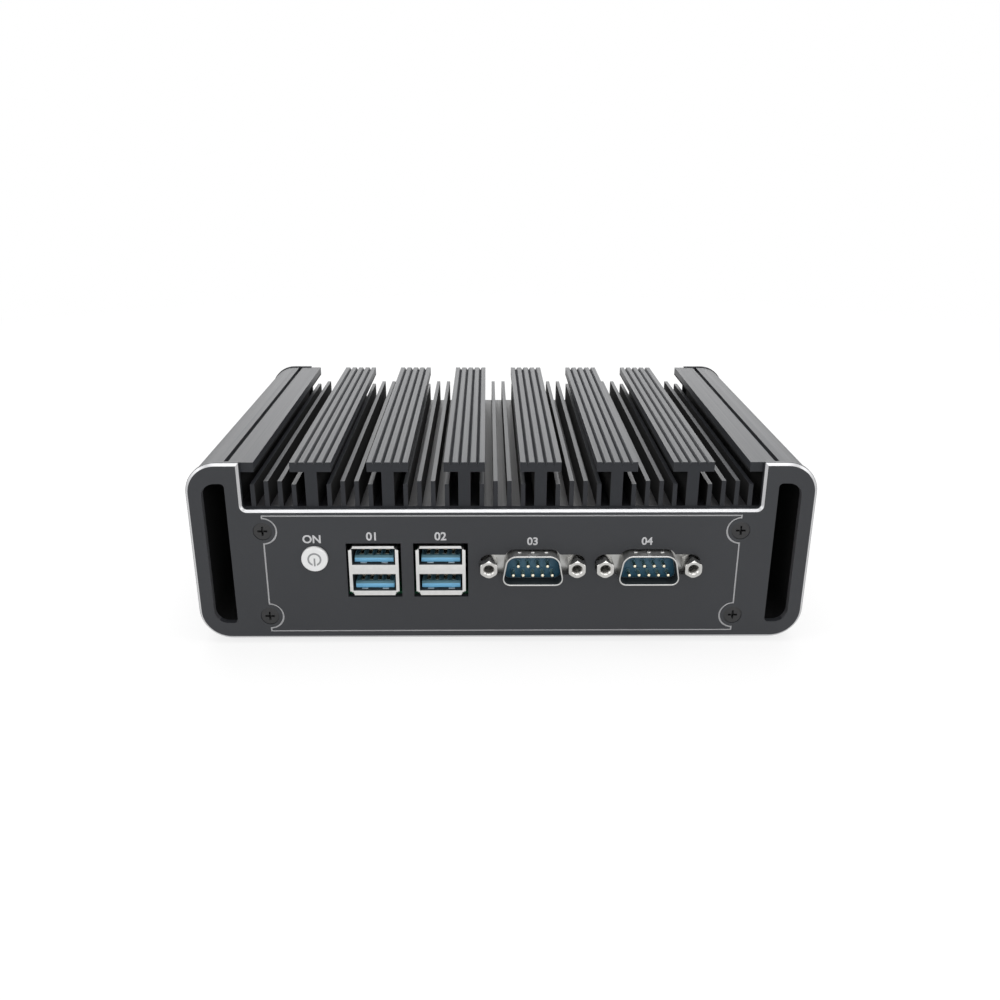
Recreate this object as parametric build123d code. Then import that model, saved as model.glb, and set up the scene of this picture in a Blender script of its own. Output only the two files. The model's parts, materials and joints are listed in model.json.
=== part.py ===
from build123d import *
import os
from math import cos, radians, tan

# Industrial mini computer with a finned heat-sink case, in millimetres.
# x runs to the right, y from the front face to the back, z upwards.
# The helpers work from the outer face of the front plate (y = 0) and the lower
# edge of the plates (z = 0). save_node then moves every piece to the part's own
# frame, whose origin is midway between front and back, on the ground.

# Case
case_width = 176.0
case_height = 54.2
case_depth = 119.5
plate_thick = 2.0
plate_corner_r = 9.0
plate_proud = 0.3
edge_chamfer = 0.9

# U-shaped notch and side slots of the end plates
ear_width = 15.4
panel_height = 40.5
notch_corner_r = 1.2
slot_wall = 4.45
slot_width = 6.6
slot_top_wall = 5.9
slot_bottom_wall = 5.2
slot_outer_r = 3.9
slot_inner_r = 1.2

# Row of ports between the plate's screws
row_inset = 6.0

# Engraved line around the front panel
line_shift = 0.1
line_bottom = 2.5
line_drop = 1.8
line_width = 0.5
line_depth = 0.25
line_arc_r = 3.9

# Heat-sink extrusion
fin_floor_thick = 4.0
fin_floor_rise = 0.4
side_wall_thick = 2.65
channel_clear = 0.4
lip_reach = 5.0
lip_thick = 2.8
groove_inset = 11.5
groove_width = 1.3
groove_depth = 1.3
fin_pitch = 21.3
tee_count = 6
cap_width = 11.45
cap_thick = 2.8
stem_width = 3.4
cap_groove_count = 4
cap_groove_depth = 0.9
cap_groove_width = 1.05
cap_ridge_width = 1.45
thin_fin_count = 4
thin_fin_pitch = 3.85
thin_fin_tip = 1.2
thin_fin_root = 1.35
tall_fin_drop = 5.5
short_fin_drop = 6.45
root_r = 0.5

# Screw ports of the extrusion and the screws in them
port_inset = 6.4
port_low_z = 7.4
port_drop = 6.4
port_r = 3.4
port_web = 2.4
screw_r = 1.5
screw_clear = 0.05
screw_head_r = 2.6
screw_head_h = 1.5
plate_screw_length = 12.0
head_sink = 0.35
screw_head_lip = 0.2

# Bottom cover, its ledges, screws, feet and mounting holes
cover_thick = 1.6
cover_recess = 0.2
ledge_reach = 10.0
ledge_thick = 2.4
cover_clear = 0.35
cover_screw_length = 4.4
cover_head_h = 1.2
cover_screw_edge = 4.6
cover_screw_inset = 22.0
foot_r = 6.0
foot_thick = 2.0
foot_edge = 17.9
foot_inset = 15.0
foot_pin_r = 1.5
foot_pin_extra = 1.2
mount_spacing = 75.0
mount_hole_r = 2.0
nut_r = 3.6
nut_height = 3.0

# Main board, its standoffs and screws
board_top_z = 14.1
board_thick = 1.6
board_side_gap = 7.9
board_gap = 0.5
standoff_edge = 6.0
standoff_inset = 24.0
standoff_flats = 5.5
board_screw_head_r = 2.7
board_screw_head_h = 1.7
board_screw_length = 6.0

# Power button and its switch
button_inset = 8.2
button_rise = 11.7
button_r = 3.75
button_fit = 0.08
button_proud = 0.9
button_travel = 0.8
button_flange_r = 4.7
button_flange_thick = 0.8
button_gap = 0.3
plunger_r = 1.75
plunger_length = 2.2
plunger_fit = 0.08
switch_size = 6.2
switch_depth = 3.6
switch_board_thick = 1.2
switch_board_width = 12.0
switch_board_above = 5.5

# Stacked double data sockets
socket_width = 13.2
socket_cavity_width = 12.3
socket_cavity_height = 5.2
socket_bar = 2.9
socket_wall = 0.55
socket_length = 17.0
socket_proud = 0.7
socket_lip = 0.65
socket_lip_thick = 0.4
socket_lip_gap = 1.2
socket_cut_clear = 0.55
tongue_width = 11.1
tongue_thick = 1.9
tongue_recess = 1.5
tongue_gap = 0.75
insulator_block = 3.0
contact_width = 1.0
contact_thick = 0.2
contact_pitch = 2.4
contact_start = 2.2
contact_length = 7.0
fit_gap = 0.05
socket_from_button = 16.7
socket_pitch = 19.05
contact_crest = 2.1

# Nine-pin serial plugs
serial_inset = 19.85
serial_pitch = 33.0
serial_rise = 9.55
shell_width = 17.9
shell_height = 8.9
shell_wall = 0.45
shell_slant = 10.0
shell_corner_r = 2.6
shell_proud = 3.9
shell_floor = 0.9
flange_width = 30.8
flange_height = 12.5
flange_corner_r = 1.5
flange_thick = 0.9
flange_gap = 0.05
jack_spacing = 24.99
jack_flats = 4.75
jack_proud = 3.7
jack_thread_r = 1.42
jack_thread_depth = 5.0
jack_shank_r = 1.2
jack_shank = 4.5
jack_nut_thick = 2.0
pin_r = 0.5
pin_pitch = 2.77
pin_row_gap = 2.84
pin_recess = 1.0
pin_tip_r = 0.4
serial_block_width = 19.0
serial_block_length = 9.5
serial_block_above = 1.0
dimple_r = 0.55
dimple_pitch = 3.8
dimple_rise = 0.3
dimple_inset = 0.975
cut_clear = 0.3
ear_half = 15.15
ear_height = 6.3
ear_corner_r = 2.646

# Rear ports
inlet_inset = 9.0
inlet_width = 9.0
inlet_height = 11.0
inlet_length = 14.0
inlet_hole_r = 3.15
inlet_collar_r = 4.1
inlet_pin_r = 1.05
inlet_hole_depth = 9.5
video_step = 24.0
video_rise = 6.6
video_hole_r = 0.6
video_pitch = 2.29
video_row_gap = 1.98
network_step = 27.0
network_pitch = 17.5
network_width = 16.0
network_height = 13.4
network_length = 21.0
network_cavity_width = 11.8
network_cavity_height = 7.0
network_cavity_depth = 12.0
network_key_width = 6.2
network_key_height = 2.4
network_wall = 0.5
network_wire_count = 8
network_wire_pitch = 1.02
network_wire_thick = 0.4
network_wire_start = 2.5
network_wire_drop = 2.2
rear_socket_step = 18.0
audio_step = 13.0
audio_pitch = 9.0
audio_barrel_r = 3.0
audio_hole_r = 1.8
audio_body = 7.4
audio_length = 12.0
audio_hole_depth = 10.0
rear_port_clear = 0.4

# Inside
processor_size = 25.0
processor_thick = 1.6
pad_thick = 0.5
block_size = 42.0
block_chamfer = 2.0
memory_inset = 13.0
memory_length = 67.6
memory_width = 30.0
memory_thick = 1.0
memory_lift = 3.2
memory_socket_depth = 6.0
memory_socket_height = 5.2
memory_socket_extra = 3.0
memory_latch = 21.0
memory_chip_width = 9.0
memory_chip_length = 11.0
memory_chip_thick = 0.9
memory_chip_shift = 2.0
memory_offset = 3.5
card_inset = 20.0
card_width = 22.0
card_length = 60.0
card_thick = 0.8
card_lift = 2.6
card_start = 31.0
card_socket_depth = 6.0
card_socket_height = 4.2
card_chip_width = 14.0
card_chip_length = 13.0
card_chip_thick = 1.2
card_chip_start = 14.0
card_chip_pitch = 16.0
card_post_r = 2.2
card_head_h = 1.0
cell_x = 14.0
cell_y = 25.0
cell_r = 10.0
cell_thick = 3.2
cell_chamfer = 0.5
cell_holder_wall = 1.4
cell_holder_floor = 0.8
choke_size = 7.0
choke_height = 4.0
choke_pitch = 9.0
choke_offset = 28.5
choke_count = 4
capacitor_r = 3.15
capacitor_height = 8.0
capacitor_pitch = 8.0
capacitor_offset = 27.5
capacitor_chamfer = 0.4
capacitor_count = 3
capacitor_start_x = -17.0

# Places that follow from the sizes above
back_start = case_depth - plate_thick
middle_y = case_depth / 2
body_half = case_width / 2 - plate_proud
body_top = case_height - plate_proud
body_bottom = plate_proud
body_corner_r = plate_corner_r - plate_proud
notch_half = case_width / 2 - ear_width
slot_inner_x = case_width / 2 - slot_wall - slot_width
side_wall_inner = slot_inner_x - channel_clear - side_wall_thick
lip_edge = side_wall_inner - lip_reach
groove_x = case_width / 2 - groove_inset
port_x = side_wall_inner - port_inset
port_high_z = panel_height - port_drop
row_half = port_x - row_inset
line_half = port_x - line_shift
line_top = panel_height - line_drop
fin_floor = panel_height + fin_floor_rise
ceiling = panel_height - fin_floor_thick
cap_under = body_top - cap_thick
cover_bottom = body_bottom + cover_recess
cover_top = cover_bottom + cover_thick
foot_stand = foot_thick - cover_bottom
board_bottom = board_top_z - board_thick
board_front = plate_thick + board_gap
board_back = back_start - board_gap
cover_screw_x = side_wall_inner - cover_screw_edge
foot_x = side_wall_inner - foot_edge
board_half = side_wall_inner - board_side_gap
standoff_x = board_half - standoff_edge

# Places of the ports, from the ends of their row inwards
button_x = button_inset - row_half
button_z = board_top_z + button_rise
switch_board_top = button_z + switch_board_above
first_socket_x = button_x + socket_from_button
front_socket_places = (first_socket_x, first_socket_x + socket_pitch)
last_serial_x = row_half - serial_inset
serial_places = (last_serial_x - serial_pitch, last_serial_x)
serial_z = board_top_z + serial_rise
inlet_x = row_half - inlet_inset
video_x = inlet_x - video_step
video_z = board_top_z + video_rise
network_places = (video_x - network_step, video_x - network_step - network_pitch)
rear_socket_x = network_places[-1] - rear_socket_step
audio_places = (rear_socket_x - audio_step, rear_socket_x - audio_step - audio_pitch)

# Places inside
memory_x = memory_inset - board_half
memory_y = middle_y - memory_offset
card_x = board_half - card_inset
choke_y = middle_y + choke_offset
capacitor_y = middle_y - capacitor_offset


def save_node(name, *pieces):
    """Move the finished pieces to the part's frame and write them as one node."""
    to_frame = Pos(0, -middle_y, foot_stand)
    solids = []
    for piece in pieces:
        solids += [to_frame * solid for solid in piece.solids()]
    shape = solids[0] if len(solids) == 1 else Compound(children=solids)
    export_step(shape, f"parts/{name}.step")


def slab(profile, y_from, y_to):
    """Carry an x-z profile along y."""
    return Pos(0, y_from, 0) * extrude(Plane.XZ * profile, amount=y_from - y_to)


def rod(radius, x, z, y_from, y_to):
    """A round bar along y."""
    return slab(Pos(x, z) * Circle(radius), y_from, y_to)


def post(radius, x, y, z_from, z_to):
    """A round bar along z."""
    return Pos(x, y, z_from) * extrude(Circle(radius), amount=z_to - z_from)


def block(x_from, x_to, y_from, y_to, z_from, z_to):
    """A box between two corners."""
    size = Box(x_to - x_from, y_to - y_from, z_to - z_from)
    return Pos((x_from + x_to) / 2, (y_from + y_to) / 2, (z_from + z_to) / 2) * size


def area(x_from, x_to, z_from, z_to):
    """A rectangle in an x-z profile."""
    return Pos((x_from + x_to) / 2, (z_from + z_to) / 2) * Rectangle(x_to - x_from, z_to - z_from)


def both_sides(profile):
    """An x-z profile and its mirror image across the middle plane."""
    return profile + mirror(profile, about=Plane.YZ)


def from_back(shape):
    """Turn a shape made for the front so that it faces out of the back."""
    return Pos(0, case_depth, 0) * Rotation(0, 0, 180) * shape


def slot_profile(clear=0.0):
    """Tall slot in the right-hand side, larger all round by the clearance."""
    inner = slot_inner_x - clear
    outer = slot_inner_x + slot_width + clear
    low = slot_bottom_wall - clear
    high = case_height - slot_top_wall + clear
    shape = area(inner, outer, low, high)
    outer_corners = shape.vertices().sort_by(Axis.X)[-2:]
    shape = fillet(outer_corners, slot_outer_r)
    inner_corners = shape.vertices().sort_by(Axis.X)[:2]
    return fillet(inner_corners, slot_inner_r)


def cap_profile(x):
    """Flat head of a T fin with lengthwise V grooves in its top."""
    shape = area(x - cap_width / 2, x + cap_width / 2, cap_under, body_top)
    ridge_pitch = cap_groove_width + cap_ridge_width
    for number in range(cap_groove_count):
        middle = x + (number - (cap_groove_count - 1) / 2) * ridge_pitch
        half = cap_groove_width / 2
        shape -= Polygon(
            (middle - half, body_top),
            (middle + half, body_top),
            (middle, body_top - cap_groove_depth),
            align=None,
        )
    return shape


def thin_fin_profile(x, top):
    """One thin fin, a little thicker at its root."""
    return Polygon(
        (x - thin_fin_root / 2, ceiling),
        (x + thin_fin_root / 2, ceiling),
        (x + thin_fin_tip / 2, top),
        (x - thin_fin_tip / 2, top),
        align=None,
    )


def fin_profiles():
    """T fins, and the thin fins in each gap between stems and shoulder walls."""
    shapes = []
    for number in range(tee_count):
        x = (number - (tee_count - 1) / 2) * fin_pitch
        shapes.append(cap_profile(x))
        stem_half = stem_width / 2
        shapes.append(area(x - stem_half, x + stem_half, ceiling + root_r, cap_under + root_r))
    for gap in range(tee_count + 1):
        middle = (gap - tee_count / 2) * fin_pitch
        for number in range(thin_fin_count):
            step = number - (thin_fin_count - 1) / 2
            outermost = number in (0, thin_fin_count - 1)
            top = body_top - (short_fin_drop if outermost else tall_fin_drop)
            shapes.append(thin_fin_profile(middle + step * thin_fin_pitch, top))
    return shapes


def screw_port_profile(z):
    """Round screw port with the web that ties it to the side wall."""
    ring = Pos(port_x, z) * Circle(port_r)
    web = area(port_x, side_wall_inner + root_r, z - port_web / 2, z + port_web / 2)
    return ring + web


def make_heatsink_body():
    """The case extrusion: shoulders, side channels, T fins, ports and ledges."""
    middle_z = (body_top + body_bottom) / 2
    profile = Pos(0, middle_z) * RectangleRounded(2 * body_half, body_top - body_bottom, body_corner_r)
    profile -= area(-side_wall_inner, side_wall_inner, 0, ceiling)
    profile -= area(-side_wall_inner, side_wall_inner, fin_floor, body_top - lip_thick)
    profile -= area(-lip_edge, lip_edge, fin_floor, case_height)
    channel = slot_profile(channel_clear)
    groove_half = groove_width / 2
    groove = area(groove_x - groove_half, groove_x + groove_half, body_top - groove_depth, case_height)
    profile -= both_sides(channel + groove)
    ledge_top = cover_top + ledge_thick
    ledge = area(side_wall_inner - ledge_reach, side_wall_inner + root_r, cover_top, ledge_top)
    for extra in [ledge, screw_port_profile(port_low_z), screw_port_profile(port_high_z)]:
        profile += both_sides(extra)
    for shape in fin_profiles():
        profile += shape
    for z in (port_low_z, port_high_z):
        profile -= both_sides(Pos(port_x, z) * Circle(screw_r + screw_clear))
    body = slab(profile, plate_thick, back_start)
    hole_top = cover_bottom + cover_screw_length + screw_clear
    for x, y in cover_screw_places():
        body -= post(screw_r + screw_clear, x, y, cover_bottom, hole_top)
    return body


def plate_outline():
    """Rounded plate with the notch that leaves the fins open to the air."""
    outline = Pos(0, case_height / 2) * RectangleRounded(case_width, case_height, plate_corner_r)
    notch = area(-notch_half, notch_half, panel_height, 2 * case_height - panel_height)
    notch = fillet(notch.vertices().sort_by(Axis.Y)[:2], notch_corner_r)
    return outline - notch


def make_blank_plate():
    """End plate with its outer face at y = 0: notch, bright chamfer and side slots."""
    plate = slab(plate_outline(), 0, plate_thick)
    outer_face = plate.faces().sort_by(Axis.Y)[0]
    plate = chamfer(outer_face.edges(), edge_chamfer)
    plate -= slab(both_sides(slot_profile()), 0, plate_thick)
    for x in (-port_x, port_x):
        for z in (port_low_z, port_high_z):
            plate -= rod(screw_r + screw_clear, x, z, 0, plate_thick)
            plate -= countersunk_head(x, z, 0, screw_clear)
    return plate


def countersunk_head(x, z, front, clear=0.0):
    """Cone of a countersunk head whose top lies at y = front."""
    outline = Polygon(
        (0, front),
        (screw_head_r + clear, front),
        (screw_head_r + clear, head_sink),
        (screw_r + clear, head_sink + screw_head_h),
        (0, head_sink + screw_head_h),
        align=None,
    )
    return Pos(x, 0, z) * revolve(outline, Axis.Y)


def plate_screws():
    """Four countersunk screws that hold a plate to the extrusion's ports."""
    screws = []
    for x in (-port_x, port_x):
        for z in (port_low_z, port_high_z):
            shank = rod(screw_r, x, z, head_sink + screw_head_h, head_sink + plate_screw_length)
            screws.append(countersunk_head(x, z, head_sink - screw_head_lip) + shank)
    return screws


def engraved_line():
    """Shallow line around the front panel, bulging inwards round each screw."""
    half = line_width / 2
    inner = line_half - half
    outer = line_half + half
    frame = area(-outer, outer, line_top - half, line_top + half)
    frame += area(-outer, outer, line_bottom - half, line_bottom + half)
    inner_side = area(0, outer, 0, case_height)
    arcs = []
    for z in (port_low_z, port_high_z):
        ring = Circle(line_arc_r + half) - Circle(line_arc_r - half)
        arcs.append((Pos(port_x, z) * ring) & inner_side)
    side = area(inner, outer, port_low_z + line_arc_r - half, port_high_z - line_arc_r + half)
    low_hook = area(inner, outer, line_bottom - half, port_low_z - line_arc_r + half)
    high_hook = area(inner, outer, port_high_z + line_arc_r - half, line_top + half)
    for piece in arcs + [side, low_hook, high_hook]:
        frame += both_sides(piece)
    return slab(frame, 0, line_depth)


def d_profile(width, height, corner_r):
    """D-shaped outline of a pin connector, narrow side up, about its centre."""
    lean = height / 2 * tan(radians(shell_slant))
    shape = Polygon(
        (-width / 2, -height / 2),
        (width / 2, -height / 2),
        (width / 2 - 2 * lean, height / 2),
        (-width / 2 + 2 * lean, height / 2),
        align=None,
    )
    return fillet(shape.vertices(), corner_r)


def d_opening():
    """Panel opening of a D connector with ears for its jack screws."""
    shape = d_profile(shell_width + 2 * cut_clear, shell_height + 2 * cut_clear, shell_corner_r + cut_clear)
    shape += RectangleRounded(2 * ear_half, ear_height, ear_corner_r)
    top = shell_height / 2 + cut_clear
    shoulder = shell_width / 2 - top * tan(radians(shell_slant))
    shape += Polygon(
        (-shoulder, top),
        (shoulder, top),
        (jack_spacing / 2, ear_height / 2),
        (-jack_spacing / 2, ear_height / 2),
        align=None,
    )
    return shape


def make_front_plate():
    """Front plate with the engraved line and the openings for button and ports."""
    plate = make_blank_plate() - engraved_line()
    plate -= rod(button_r + button_fit, button_x, button_z, 0, plate_thick)
    for x in front_socket_places:
        plate -= slab(Pos(x, socket_middle_z()) * socket_opening(), 0, plate_thick)
    for x in serial_places:
        plate -= slab(Pos(x, serial_z) * d_opening(), 0, plate_thick)
    return plate


def make_back_plate():
    """Back plate with the openings for the rear ports."""
    plate = from_back(make_blank_plate())
    socket_place = Pos(rear_socket_x, socket_middle_z())
    plate -= slab(socket_place * socket_opening(), back_start, case_depth)
    plate -= slab(Pos(video_x, video_z) * d_opening(), back_start, case_depth)
    for x in network_places:
        low = board_top_z - rear_port_clear
        high = board_top_z + network_height + rear_port_clear
        half = network_width / 2 + rear_port_clear
        plate -= slab(area(x - half, x + half, low, high), back_start, case_depth)
    for x in audio_places:
        plate -= rod(audio_barrel_r + rear_port_clear, x, audio_z(), back_start, case_depth)
    plate -= rod(inlet_collar_r + rear_port_clear, inlet_x, inlet_z(), back_start, case_depth)
    return plate


def cover_screw_places():
    """Three screws along each long side of the bottom cover."""
    rows = (cover_screw_inset, middle_y, case_depth - cover_screw_inset)
    return [(x, y) for x in (-cover_screw_x, cover_screw_x) for y in rows]


def foot_places():
    return [(x, y) for x in (-foot_x, foot_x) for y in (foot_inset, case_depth - foot_inset)]


def mount_places():
    """Square hole pattern in the middle of the cover, for a bracket."""
    half = mount_spacing / 2
    return [(x, middle_y + y) for x in (-half, half) for y in (-half, half)]


def standoff_places():
    return [(x, y) for x in (-standoff_x, standoff_x) for y in (standoff_inset, case_depth - standoff_inset)]


def make_bottom_cover():
    """Flat sheet under the board, with its screw, foot and mounting holes."""
    half = side_wall_inner - cover_clear
    front = plate_thick + cover_clear
    back = back_start - cover_clear
    cover = block(-half, half, front, back, cover_bottom, cover_top)
    for x, y in cover_screw_places():
        cover -= post(screw_r + screw_clear, x, y, cover_bottom, cover_top)
        cover -= cover_screw_head(x, y, screw_clear)
    for x, y in foot_places():
        cover -= post(foot_pin_r + screw_clear, x, y, cover_bottom, cover_top)
    for x, y in mount_places():
        cover -= post(mount_hole_r, x, y, cover_bottom, cover_top)
    return cover


def cover_screw_head(x, y, clear=0.0):
    """Countersunk head flush with the underside of the cover."""
    cone = Cone(screw_head_r + clear, screw_r + clear, cover_head_h)
    return Pos(x, y, cover_bottom + cover_head_h / 2) * cone


def cover_screws():
    """Countersunk screws from below into the ledges of the extrusion."""
    top = cover_bottom + cover_screw_length
    return [cover_screw_head(x, y) + post(screw_r, x, y, cover_bottom, top) for x, y in cover_screw_places()]


def rubber_feet():
    """Round feet with a pin that snaps into the cover."""
    feet = []
    for x, y in foot_places():
        pad = post(foot_r, x, y, -foot_stand, cover_bottom)
        pad = chamfer(pad.edges().group_by(Axis.Z)[0], foot_thick / 4)
        feet.append(pad + post(foot_pin_r, x, y, cover_bottom, cover_top + foot_pin_extra))
    return feet


def mount_nuts():
    """Press-in nuts behind the mounting holes."""
    nuts = []
    for x, y in mount_places():
        body = post(nut_r, x, y, cover_top, cover_top + nut_height)
        nuts.append(body - post(mount_hole_r, x, y, cover_top, cover_top + nut_height))
    return nuts


def hexagon(flats, x, y, z_from, z_to):
    """Upright hexagonal bar measured across its flats."""
    across_corners = flats / cos(radians(30)) / 2
    return Pos(x, y, z_from) * extrude(RegularPolygon(across_corners, 6), amount=z_to - z_from)


def board_standoffs():
    """Hexagonal spacers between the cover and the main board."""
    spacers = []
    for x, y in standoff_places():
        spacer = hexagon(standoff_flats, x, y, cover_top, board_bottom)
        hole_bottom = board_top_z - board_screw_length - screw_clear
        spacers.append(spacer - post(screw_r + screw_clear, x, y, hole_bottom, board_bottom))
    return spacers


def board_screws():
    """Pan-head screws through the main board into the spacers."""
    screws = []
    for x, y in standoff_places():
        head = post(board_screw_head_r, x, y, board_top_z, board_top_z + board_screw_head_h)
        head = fillet(head.edges().group_by(Axis.Z)[-1], board_screw_head_h / 2)
        screws.append(head + post(screw_r, x, y, board_top_z - board_screw_length, board_top_z))
    return screws


def make_main_board():
    """Circuit board with its fixing holes."""
    board = block(-board_half, board_half, board_front, board_back, board_bottom, board_top_z)
    for x, y in standoff_places():
        board -= post(screw_r + screw_clear, x, y, board_bottom, board_top_z)
    return board


def make_power_button():
    """Flat round button with a collar that keeps it behind the panel."""
    cap = rod(button_r, button_x, button_z, -button_proud, flange_front())
    cap = fillet(cap.edges().group_by(Axis.Y)[0], button_proud / 3)
    collar = rod(button_flange_r, button_x, button_z, flange_front(), flange_back())
    return cap + collar


def flange_front():
    return plate_thick + button_gap


def flange_back():
    return flange_front() + button_flange_thick


def switch_front():
    """Front face of the switch: the collar clears it over the whole travel."""
    return flange_back() + button_travel + button_gap


def switch_back():
    return switch_front() + switch_depth


def make_switch_plunger():
    """Plunger of the switch, which rests against the button's collar."""
    return rod(plunger_r, button_x, button_z, flange_back(), switch_front() + plunger_length)


def make_power_switch():
    """Square push-switch body with a bore for its plunger."""
    half = switch_size / 2
    x, z = button_x, button_z
    body = block(x - half, x + half, switch_front(), switch_back(), z - half, z + half)
    bore_end = switch_front() + plunger_length + button_travel + button_gap
    return body - rod(plunger_r + plunger_fit, x, z, switch_front(), bore_end)


def make_switch_board():
    """Small upright board that carries the switch on the main board."""
    half = switch_board_width / 2
    front = switch_back()
    back = front + switch_board_thick
    return block(button_x - half, button_x + half, front, back, board_top_z, switch_board_top)


def socket_height():
    return 2 * socket_cavity_height + socket_bar + 2 * socket_wall


def socket_middle_z():
    return board_top_z + socket_lip + socket_height() / 2 + fit_gap


def socket_opening():
    """Panel opening round a stacked socket and its flared lips."""
    clear = socket_lip + socket_cut_clear
    return Rectangle(socket_width + 2 * clear, socket_height() + 2 * clear)


def cavity_centres():
    rise = (socket_cavity_height + socket_bar) / 2
    return (-rise, rise)


def make_socket_shell(x):
    """Folded steel shell of a double socket with four flared lips."""
    outline = Rectangle(socket_width, socket_height())
    cavities = Sketch()
    for z in cavity_centres():
        cavities += Pos(0, z) * Rectangle(socket_cavity_width, socket_cavity_height)
    inner_height = socket_height() - 2 * socket_wall
    back_room = Rectangle(socket_cavity_width, inner_height)
    wide = socket_width + 2 * socket_lip
    tall = socket_height() + 2 * socket_lip
    lips = Rectangle(wide, tall)
    for side_x in (-wide / 2, wide / 2):
        for side_z in (-tall / 2, tall / 2):
            lips -= Pos(side_x, side_z) * Rectangle(2 * socket_lip_gap, 2 * socket_lip_gap)
    place = Pos(x, socket_middle_z())
    shell = slab(place * (outline - cavities), -socket_proud, socket_length)
    shell += slab(place * (lips - cavities), -socket_proud, -socket_proud + socket_lip_thick)
    return shell - slab(place * back_room, socket_length - insulator_block, socket_length)


def tongue_bottom(cavity_z):
    return cavity_z - socket_cavity_height / 2 + tongue_gap


def make_socket_insulator(x):
    """Moulded insulator: a block at the back and one tongue in each cavity."""
    inner_height = socket_height() - 2 * socket_wall
    back = Rectangle(socket_cavity_width - 2 * fit_gap, inner_height - 2 * fit_gap)
    place = Pos(x, socket_middle_z())
    start = socket_length - insulator_block + fit_gap
    shape = slab(place * back, start, socket_length)
    for z in cavity_centres():
        low = tongue_bottom(z)
        tongue = area(-tongue_width / 2, tongue_width / 2, low, low + tongue_thick)
        shape += slab(place * tongue, -socket_proud + tongue_recess, start)
    return shape


def make_socket_contacts(x):
    """Four spring contacts on each tongue."""
    strips = []
    for z in cavity_centres():
        seat = socket_middle_z() + tongue_bottom(z) + tongue_thick
        for number in range(4):
            middle = x + (number - 1.5) * contact_pitch
            strips.append(contact_strip(middle, seat))
    return strips


def contact_strip(x, seat):
    """Flat strip with a raised contact point, lying on its tongue."""
    end = contact_start + contact_length
    crest = contact_start + contact_crest
    rise = 2 * contact_thick
    side = Polygon(
        (contact_start, seat),
        (end, seat),
        (end, seat + contact_thick),
        (crest + 2 * rise, seat + contact_thick),
        (crest, seat + rise),
        (contact_start, seat + contact_thick),
        align=None,
    )
    return Pos(x - contact_width / 2, 0, 0) * extrude(Plane.YZ * side, amount=contact_width)


def flange_front_y():
    return plate_thick + flange_gap


def flange_back_y():
    return flange_front_y() + flange_thick


def make_d_shell(x, z):
    """Drawn steel shell with its flange and three locating dimples."""
    place = Pos(x, z)
    outer = d_profile(shell_width, shell_height, shell_corner_r)
    inner_width = shell_width - 2 * shell_wall
    inner = d_profile(inner_width, shell_height - 2 * shell_wall, shell_corner_r - shell_wall)
    flange = RectangleRounded(flange_width, flange_height, flange_corner_r)
    for side in (-1, 1):
        flange -= Pos(side * jack_spacing / 2, 0) * Circle(jack_shank_r + screw_clear)
    shell = slab(place * flange, flange_front_y(), flange_back_y())
    shell += slab(place * outer, -shell_proud, flange_front_y())
    for number in (-1, 0, 1):
        bump = Pos(x + number * dimple_pitch, 0, z + shell_height / 2) * Cylinder(dimple_r, 2 * dimple_rise)
        shell += Pos(0, -dimple_inset, 0) * bump
    return shell - slab(place * inner, -shell_proud, flange_back_y())


def make_d_insert(x, z, floor_y):
    """Insulator that fills the shell up to its floor and stands on the board."""
    inner_gap = 2 * (shell_wall + fit_gap)
    core = d_profile(shell_width - inner_gap, shell_height - inner_gap, shell_corner_r - shell_wall - fit_gap)
    back = flange_back_y() + fit_gap
    shape = slab(Pos(x, z) * core, floor_y, back)
    half = serial_block_width / 2
    top = z + shell_height / 2 + serial_block_above
    return shape + block(x - half, x + half, back, back + serial_block_length, board_top_z, top)


def serial_pin_places():
    """Four pins in the upper row and five in the lower one."""
    places = [((number - 1.5) * pin_pitch, pin_row_gap / 2) for number in range(4)]
    return places + [((number - 2) * pin_pitch, -pin_row_gap / 2) for number in range(5)]


def make_serial_insert(x):
    insert = make_d_insert(x, serial_z, shell_floor)
    for pin_x, pin_z in serial_pin_places():
        insert -= rod(pin_r + fit_gap, x + pin_x, serial_z + pin_z, shell_floor, pin_end())
    return insert


def pin_end():
    return flange_back_y() + serial_block_length / 2


def make_serial_pins(x):
    """Nine round pins with domed tips."""
    pins = []
    for pin_x, pin_z in serial_pin_places():
        pin = rod(pin_r, x + pin_x, serial_z + pin_z, -shell_proud + pin_recess, pin_end())
        pins.append(fillet(pin.edges().group_by(Axis.Y)[0], pin_tip_r))
    return pins


def jack_corner_r():
    return jack_flats / cos(radians(30)) / 2


def jack_hexagon():
    """Hexagon of the jack screws and their nuts, with a corner at the top."""
    return RegularPolygon(jack_corner_r(), 6, rotation=30)


def make_jack_screws(x, z):
    """Two hexagonal jack screws with a threaded hole in the head."""
    screws = []
    corner_r = jack_corner_r()
    for side in (-1, 1):
        place = x + side * jack_spacing / 2
        head = slab(Pos(place, z) * jack_hexagon(), -jack_proud, flange_front_y())
        round_bar = rod(corner_r, place, z, -jack_proud, flange_front_y())
        head &= chamfer(round_bar.edges().group_by(Axis.Y)[0], corner_r - jack_flats / 2)
        head -= rod(jack_thread_r, place, z, -jack_proud, -jack_proud + jack_thread_depth)
        screws.append(head + rod(jack_shank_r, place, z, flange_front_y(), flange_front_y() + jack_shank))
    return screws


def make_jack_nuts(x, z):
    """Nuts that clamp the jack screws behind the flange."""
    nuts = []
    ring = jack_hexagon() - Circle(jack_shank_r + screw_clear)
    for side in (-1, 1):
        profile = Pos(x + side * jack_spacing / 2, z) * ring
        nuts.append(slab(profile, flange_back_y(), flange_back_y() + jack_nut_thick))
    return nuts


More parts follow.
